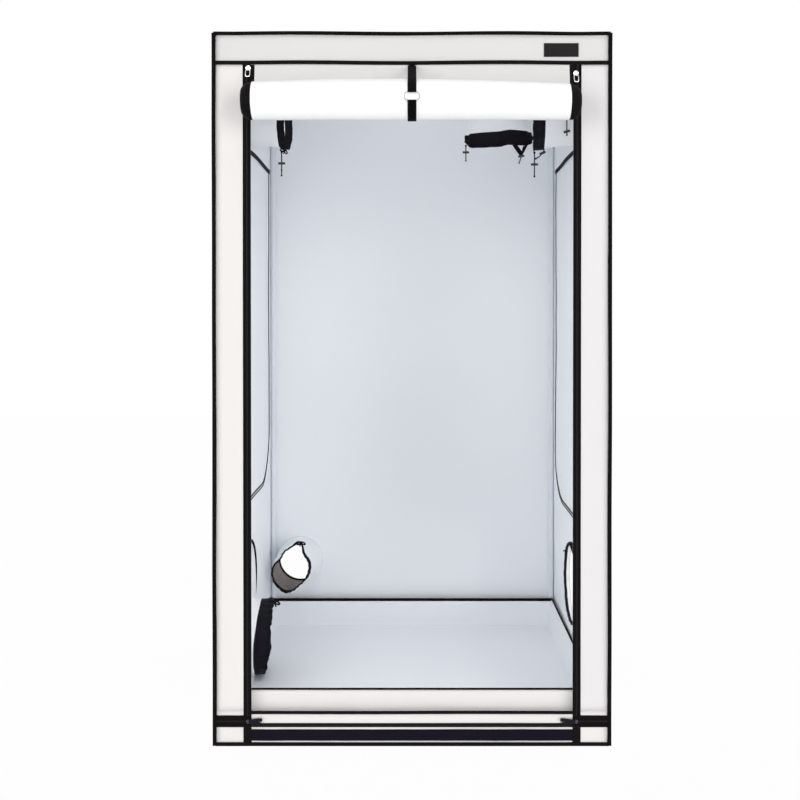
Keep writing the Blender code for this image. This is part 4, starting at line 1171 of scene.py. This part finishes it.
def tray():
    """A soft pan: its walls lean out to the skin between the poles, its front lip stands taller."""
    floor_z, side_high, lip_high = TRAY[0].z + 0.0006, TRAY_SIDE_HIGH, TRAY[1].z
    half_x, rear, front = TRAY[1].x, TRAY[1].y, -TRAY[0].y
    rings = []
    for share in (0.15, 0.3, 0.45, 0.6, 0.75, 0.88, 0.96, 1.0):
        ring = tray_ring(half_x * share, rear * share, front * share, (floor_z,) * 3)
        rings.append([p + Z * (0.0012 * (1 + noisy(p, 0.16, 31)) * ease(1, 0.9, share)) for p in ring])
    for i in range(1, TRAY_WALLS + 1):
        up = i / TRAY_WALLS
        heights = (floor_z + (lip_high - floor_z) * up,) + (floor_z + (side_high - floor_z) * up,) * 2
        ring = tray_ring(half_x, rear, front, heights)
        lean = TRAY_LEAN * ease(0.2, 1.0, up)
        for p in ring:
            if abs(p.x) > half_x - TRAY_CORNER - 0.0005:
                beside = ease(0.045, 0.075, rear - abs(p.y))
                above = TRAY_LEAN * ease(0.66, 1.0, up)
                p.x += math.copysign(lean * beside + above * (1 - beside), p.x)
            wave = 0.0022 * noisy(p, 0.13, 37) * math.sin(math.pi * min(1, up * 0.9))
            if abs(p.y) > rear - 0.02:
                p.y -= math.copysign(abs(wave), p.y)
            else:
                p.x -= math.copysign(abs(wave), p.x)
        rings.append(ring)
    pan = grid("tray_cloth", rings, SKIN, LINING, ring=True, towards=Z)
    shape = bmesh.new()
    shape.from_mesh(pan.data)
    shape.verts.ensure_lookup_table()
    shape.faces.new(shape.verts[:len(rings[0])])
    bmesh.ops.recalc_face_normals(shape, faces=shape.faces)
    shape.to_mesh(pan.data)
    shape.free()
    shade(pan, 60)
    thicken(pan, TRAY_CLOTH, inner=1)
    root(pan, "silver_lining", "floor_tray")
    rim = rings[-1]
    piping = cable("tray_piping", rim, TRAY_PIPING, WEBBING, Z, sides=8, loop=True)
    back_edge = [p - Z * 0.005 for p in rim if p.y > rear - 0.003 and abs(p.x) < half_x]
    back_edge.sort(key=lambda p: p.x)
    ends = [Vector((side * (half_x + 0.0165), back_edge[0].y, back_edge[0].z)) for side in (-1, 1)]
    band = tape("tray_band", resample([ends[0]] + back_edge + [ends[1]], 0.02), -Y, 0.010, 0.0030, WEBBING)
    root(merge("tray_binding", piping, band), "black_webbing")


# Plate, frame and bars

PLATE_X, PLATE_Z = (0.406, 0.513), (2.1307, 2.1727)
PLATE_THICK = 0.0022


def plate():
    """A bare plate with a raised middle on the header."""
    low = Vector((PLATE_X[0], FACE - TRIM_GAP - PLATE_THICK, PLATE_Z[0]))
    high = Vector((PLATE_X[1], FACE - TRIM_GAP, PLATE_Z[1]))
    back = box_piece("back", low, high, PLATE, 0.0008)
    inset = Vector((0.004, 0, 0.004))
    front = box_piece("front", low + inset - Y * 0.0006, high - inset - Y * 0.0010, PLATE, 0.0004)
    root(merge("bare_plate", back, front), "black_webbing")


def frame_finishes():
    """Finishes for the nodes that no piece replaces."""
    for name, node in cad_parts.items():
        if node.hide_render:
            continue
        if name.startswith(("rail", "upright")):
            made_of = POLE_PAINT
        elif name.startswith("connector"):
            made_of = PLASTIC
        elif name.startswith("hanging_bar"):
            made_of = BAR_STEEL
        else:
            made_of = WEBBING
        node.data.materials.clear()
        node.data.materials.append(made_of)
        shade(node)


# Stage and light

STAGE_REACH, STAGE_LEVEL = 9.0, -0.0006


def sunlight(name, turn, rise, spread, power, colour):
    """A soft light from far away; turn is from the front to the right, rise is above level, in degrees."""
    data = bpy.data.lights.new(name, "SUN")
    data.energy = power
    data.angle = math.radians(spread)
    data.color = colour
    light = bpy.data.objects.new(name, data)
    turn, rise = math.radians(turn), math.radians(rise)
    away = Vector((math.sin(turn) * math.cos(rise), -math.cos(turn) * math.cos(rise), math.sin(rise)))
    light.rotation_euler = away.to_track_quat("Z", "Y").to_euler()
    light.location = away * 5
    bpy.context.scene.collection.objects.link(light)


def backdrop_rays(nodes, links):
    """1 for the rays that show the backdrop: straight from the camera, off metal or through glass."""
    path = nodes.new("ShaderNodeLightPath")
    seen = path.outputs["Is Camera Ray"]
    for kind in ("Is Glossy Ray", "Is Transmission Ray"):
        either = nodes.new("ShaderNodeMath")
        either.operation = "MAXIMUM"
        links.new(seen, either.inputs[0])
        links.new(path.outputs[kind], either.inputs[1])
        seen = either.outputs[0]
    return seen


def show_backdrop(nodes, links, share, usual, shown, target):
    """Mixes what lights the tent with what the camera sees behind it."""
    mix = nodes.new("ShaderNodeMixShader")
    for n, socket in enumerate((share, usual.outputs[0], shown.outputs[0])):
        links.new(socket, mix.inputs[n])
    links.new(mix.outputs[0], nodes[target].inputs["Surface"])


def glowing(nodes, kind, colour, strength):
    made = nodes.new(kind)
    made.inputs["Color"].default_value = (*colour, 1)
    made.inputs["Strength"].default_value = strength
    return made


def stage():
    """A white floor and world behind the tent, and the lights."""
    mesh = bpy.data.meshes.new("studio_floor")
    corners = [(x, y, STAGE_LEVEL) for x, y in ((-STAGE_REACH, -STAGE_REACH), (STAGE_REACH, -STAGE_REACH),
                                                (STAGE_REACH, STAGE_REACH), (-STAGE_REACH, STAGE_REACH))]
    mesh.from_pydata(corners, [], [(0, 1, 2, 3)])
    ground = finish("studio_floor", (0.93, 0.93, 0.93), 0.9)
    nodes, links = ground.node_tree.nodes, ground.node_tree.links
    glow = glowing(nodes, "ShaderNodeEmission", (1, 1, 1), 1.0)
    share = nodes.new("ShaderNodeMath")
    share.operation = "MULTIPLY"
    share.inputs[1].default_value = 0.96
    links.new(backdrop_rays(nodes, links), share.inputs[0])
    show_backdrop(nodes, links, share.outputs[0], nodes["Principled BSDF"], glow, "Material Output")
    floor = keep("studio_floor", mesh, ground)
    floor.visible_shadow = False
    world = bpy.data.worlds.new("world")
    world.use_nodes = True
    bpy.context.scene.world = world
    nodes, links = world.node_tree.nodes, world.node_tree.links
    soft = nodes["Background"]
    soft.inputs["Color"].default_value = (0.93, 0.96, 1.0, 1)
    soft.inputs["Strength"].default_value = 0.22
    white = glowing(nodes, "ShaderNodeBackground", (1, 1, 1), 1.0)
    show_backdrop(nodes, links, backdrop_rays(nodes, links), soft, white, "World Output")
    for light in (  # name, turn, rise, spread, power, colour
            ("front_key", 6, 1, 34, 0.25, (1.0, 0.99, 0.975)),
            ("front_left", -44, 5, 36, 1.02, (1.0, 0.99, 0.975)),
            ("front_right", 42, 5, 36, 1.12, (1.0, 0.99, 0.98)),
            ("front_high", 2, 56, 40, 1.08, (1.0, 0.99, 0.98)),
            ("front_low", -4, -28, 30, 0.46, (1.0, 0.995, 0.99)),
            ("rear_left", -140, 22, 40, 0.9, (1.0, 0.995, 0.99)),
            ("rear_right", 128, 22, 40, 0.7, (1.0, 0.995, 0.99))):
        sunlight(*light)
    scene = bpy.context.scene
    scene.view_settings.view_transform = "Standard"
    scene.cycles.max_bounces = 12
    scene.cycles.diffuse_bounces = 10


skin()
edge_bindings()
front_line("header_line", HEADER_LOW + FLAT_BINDING / 2, FLAT_BINDING, swing=0.0012, seed=91, sag=0.0016)
front_line("sill_line", SILL_LINE_HEIGHT, SILL_LINE_WIDTH, swing=0.0010, seed=95, reach=DOORWAY)
front_zips()
sliders()
side_door_zips()
door_roll()
door_drop()
strap()
cords(sleeves())
tray()
plate()
frame_finishes()
stage()
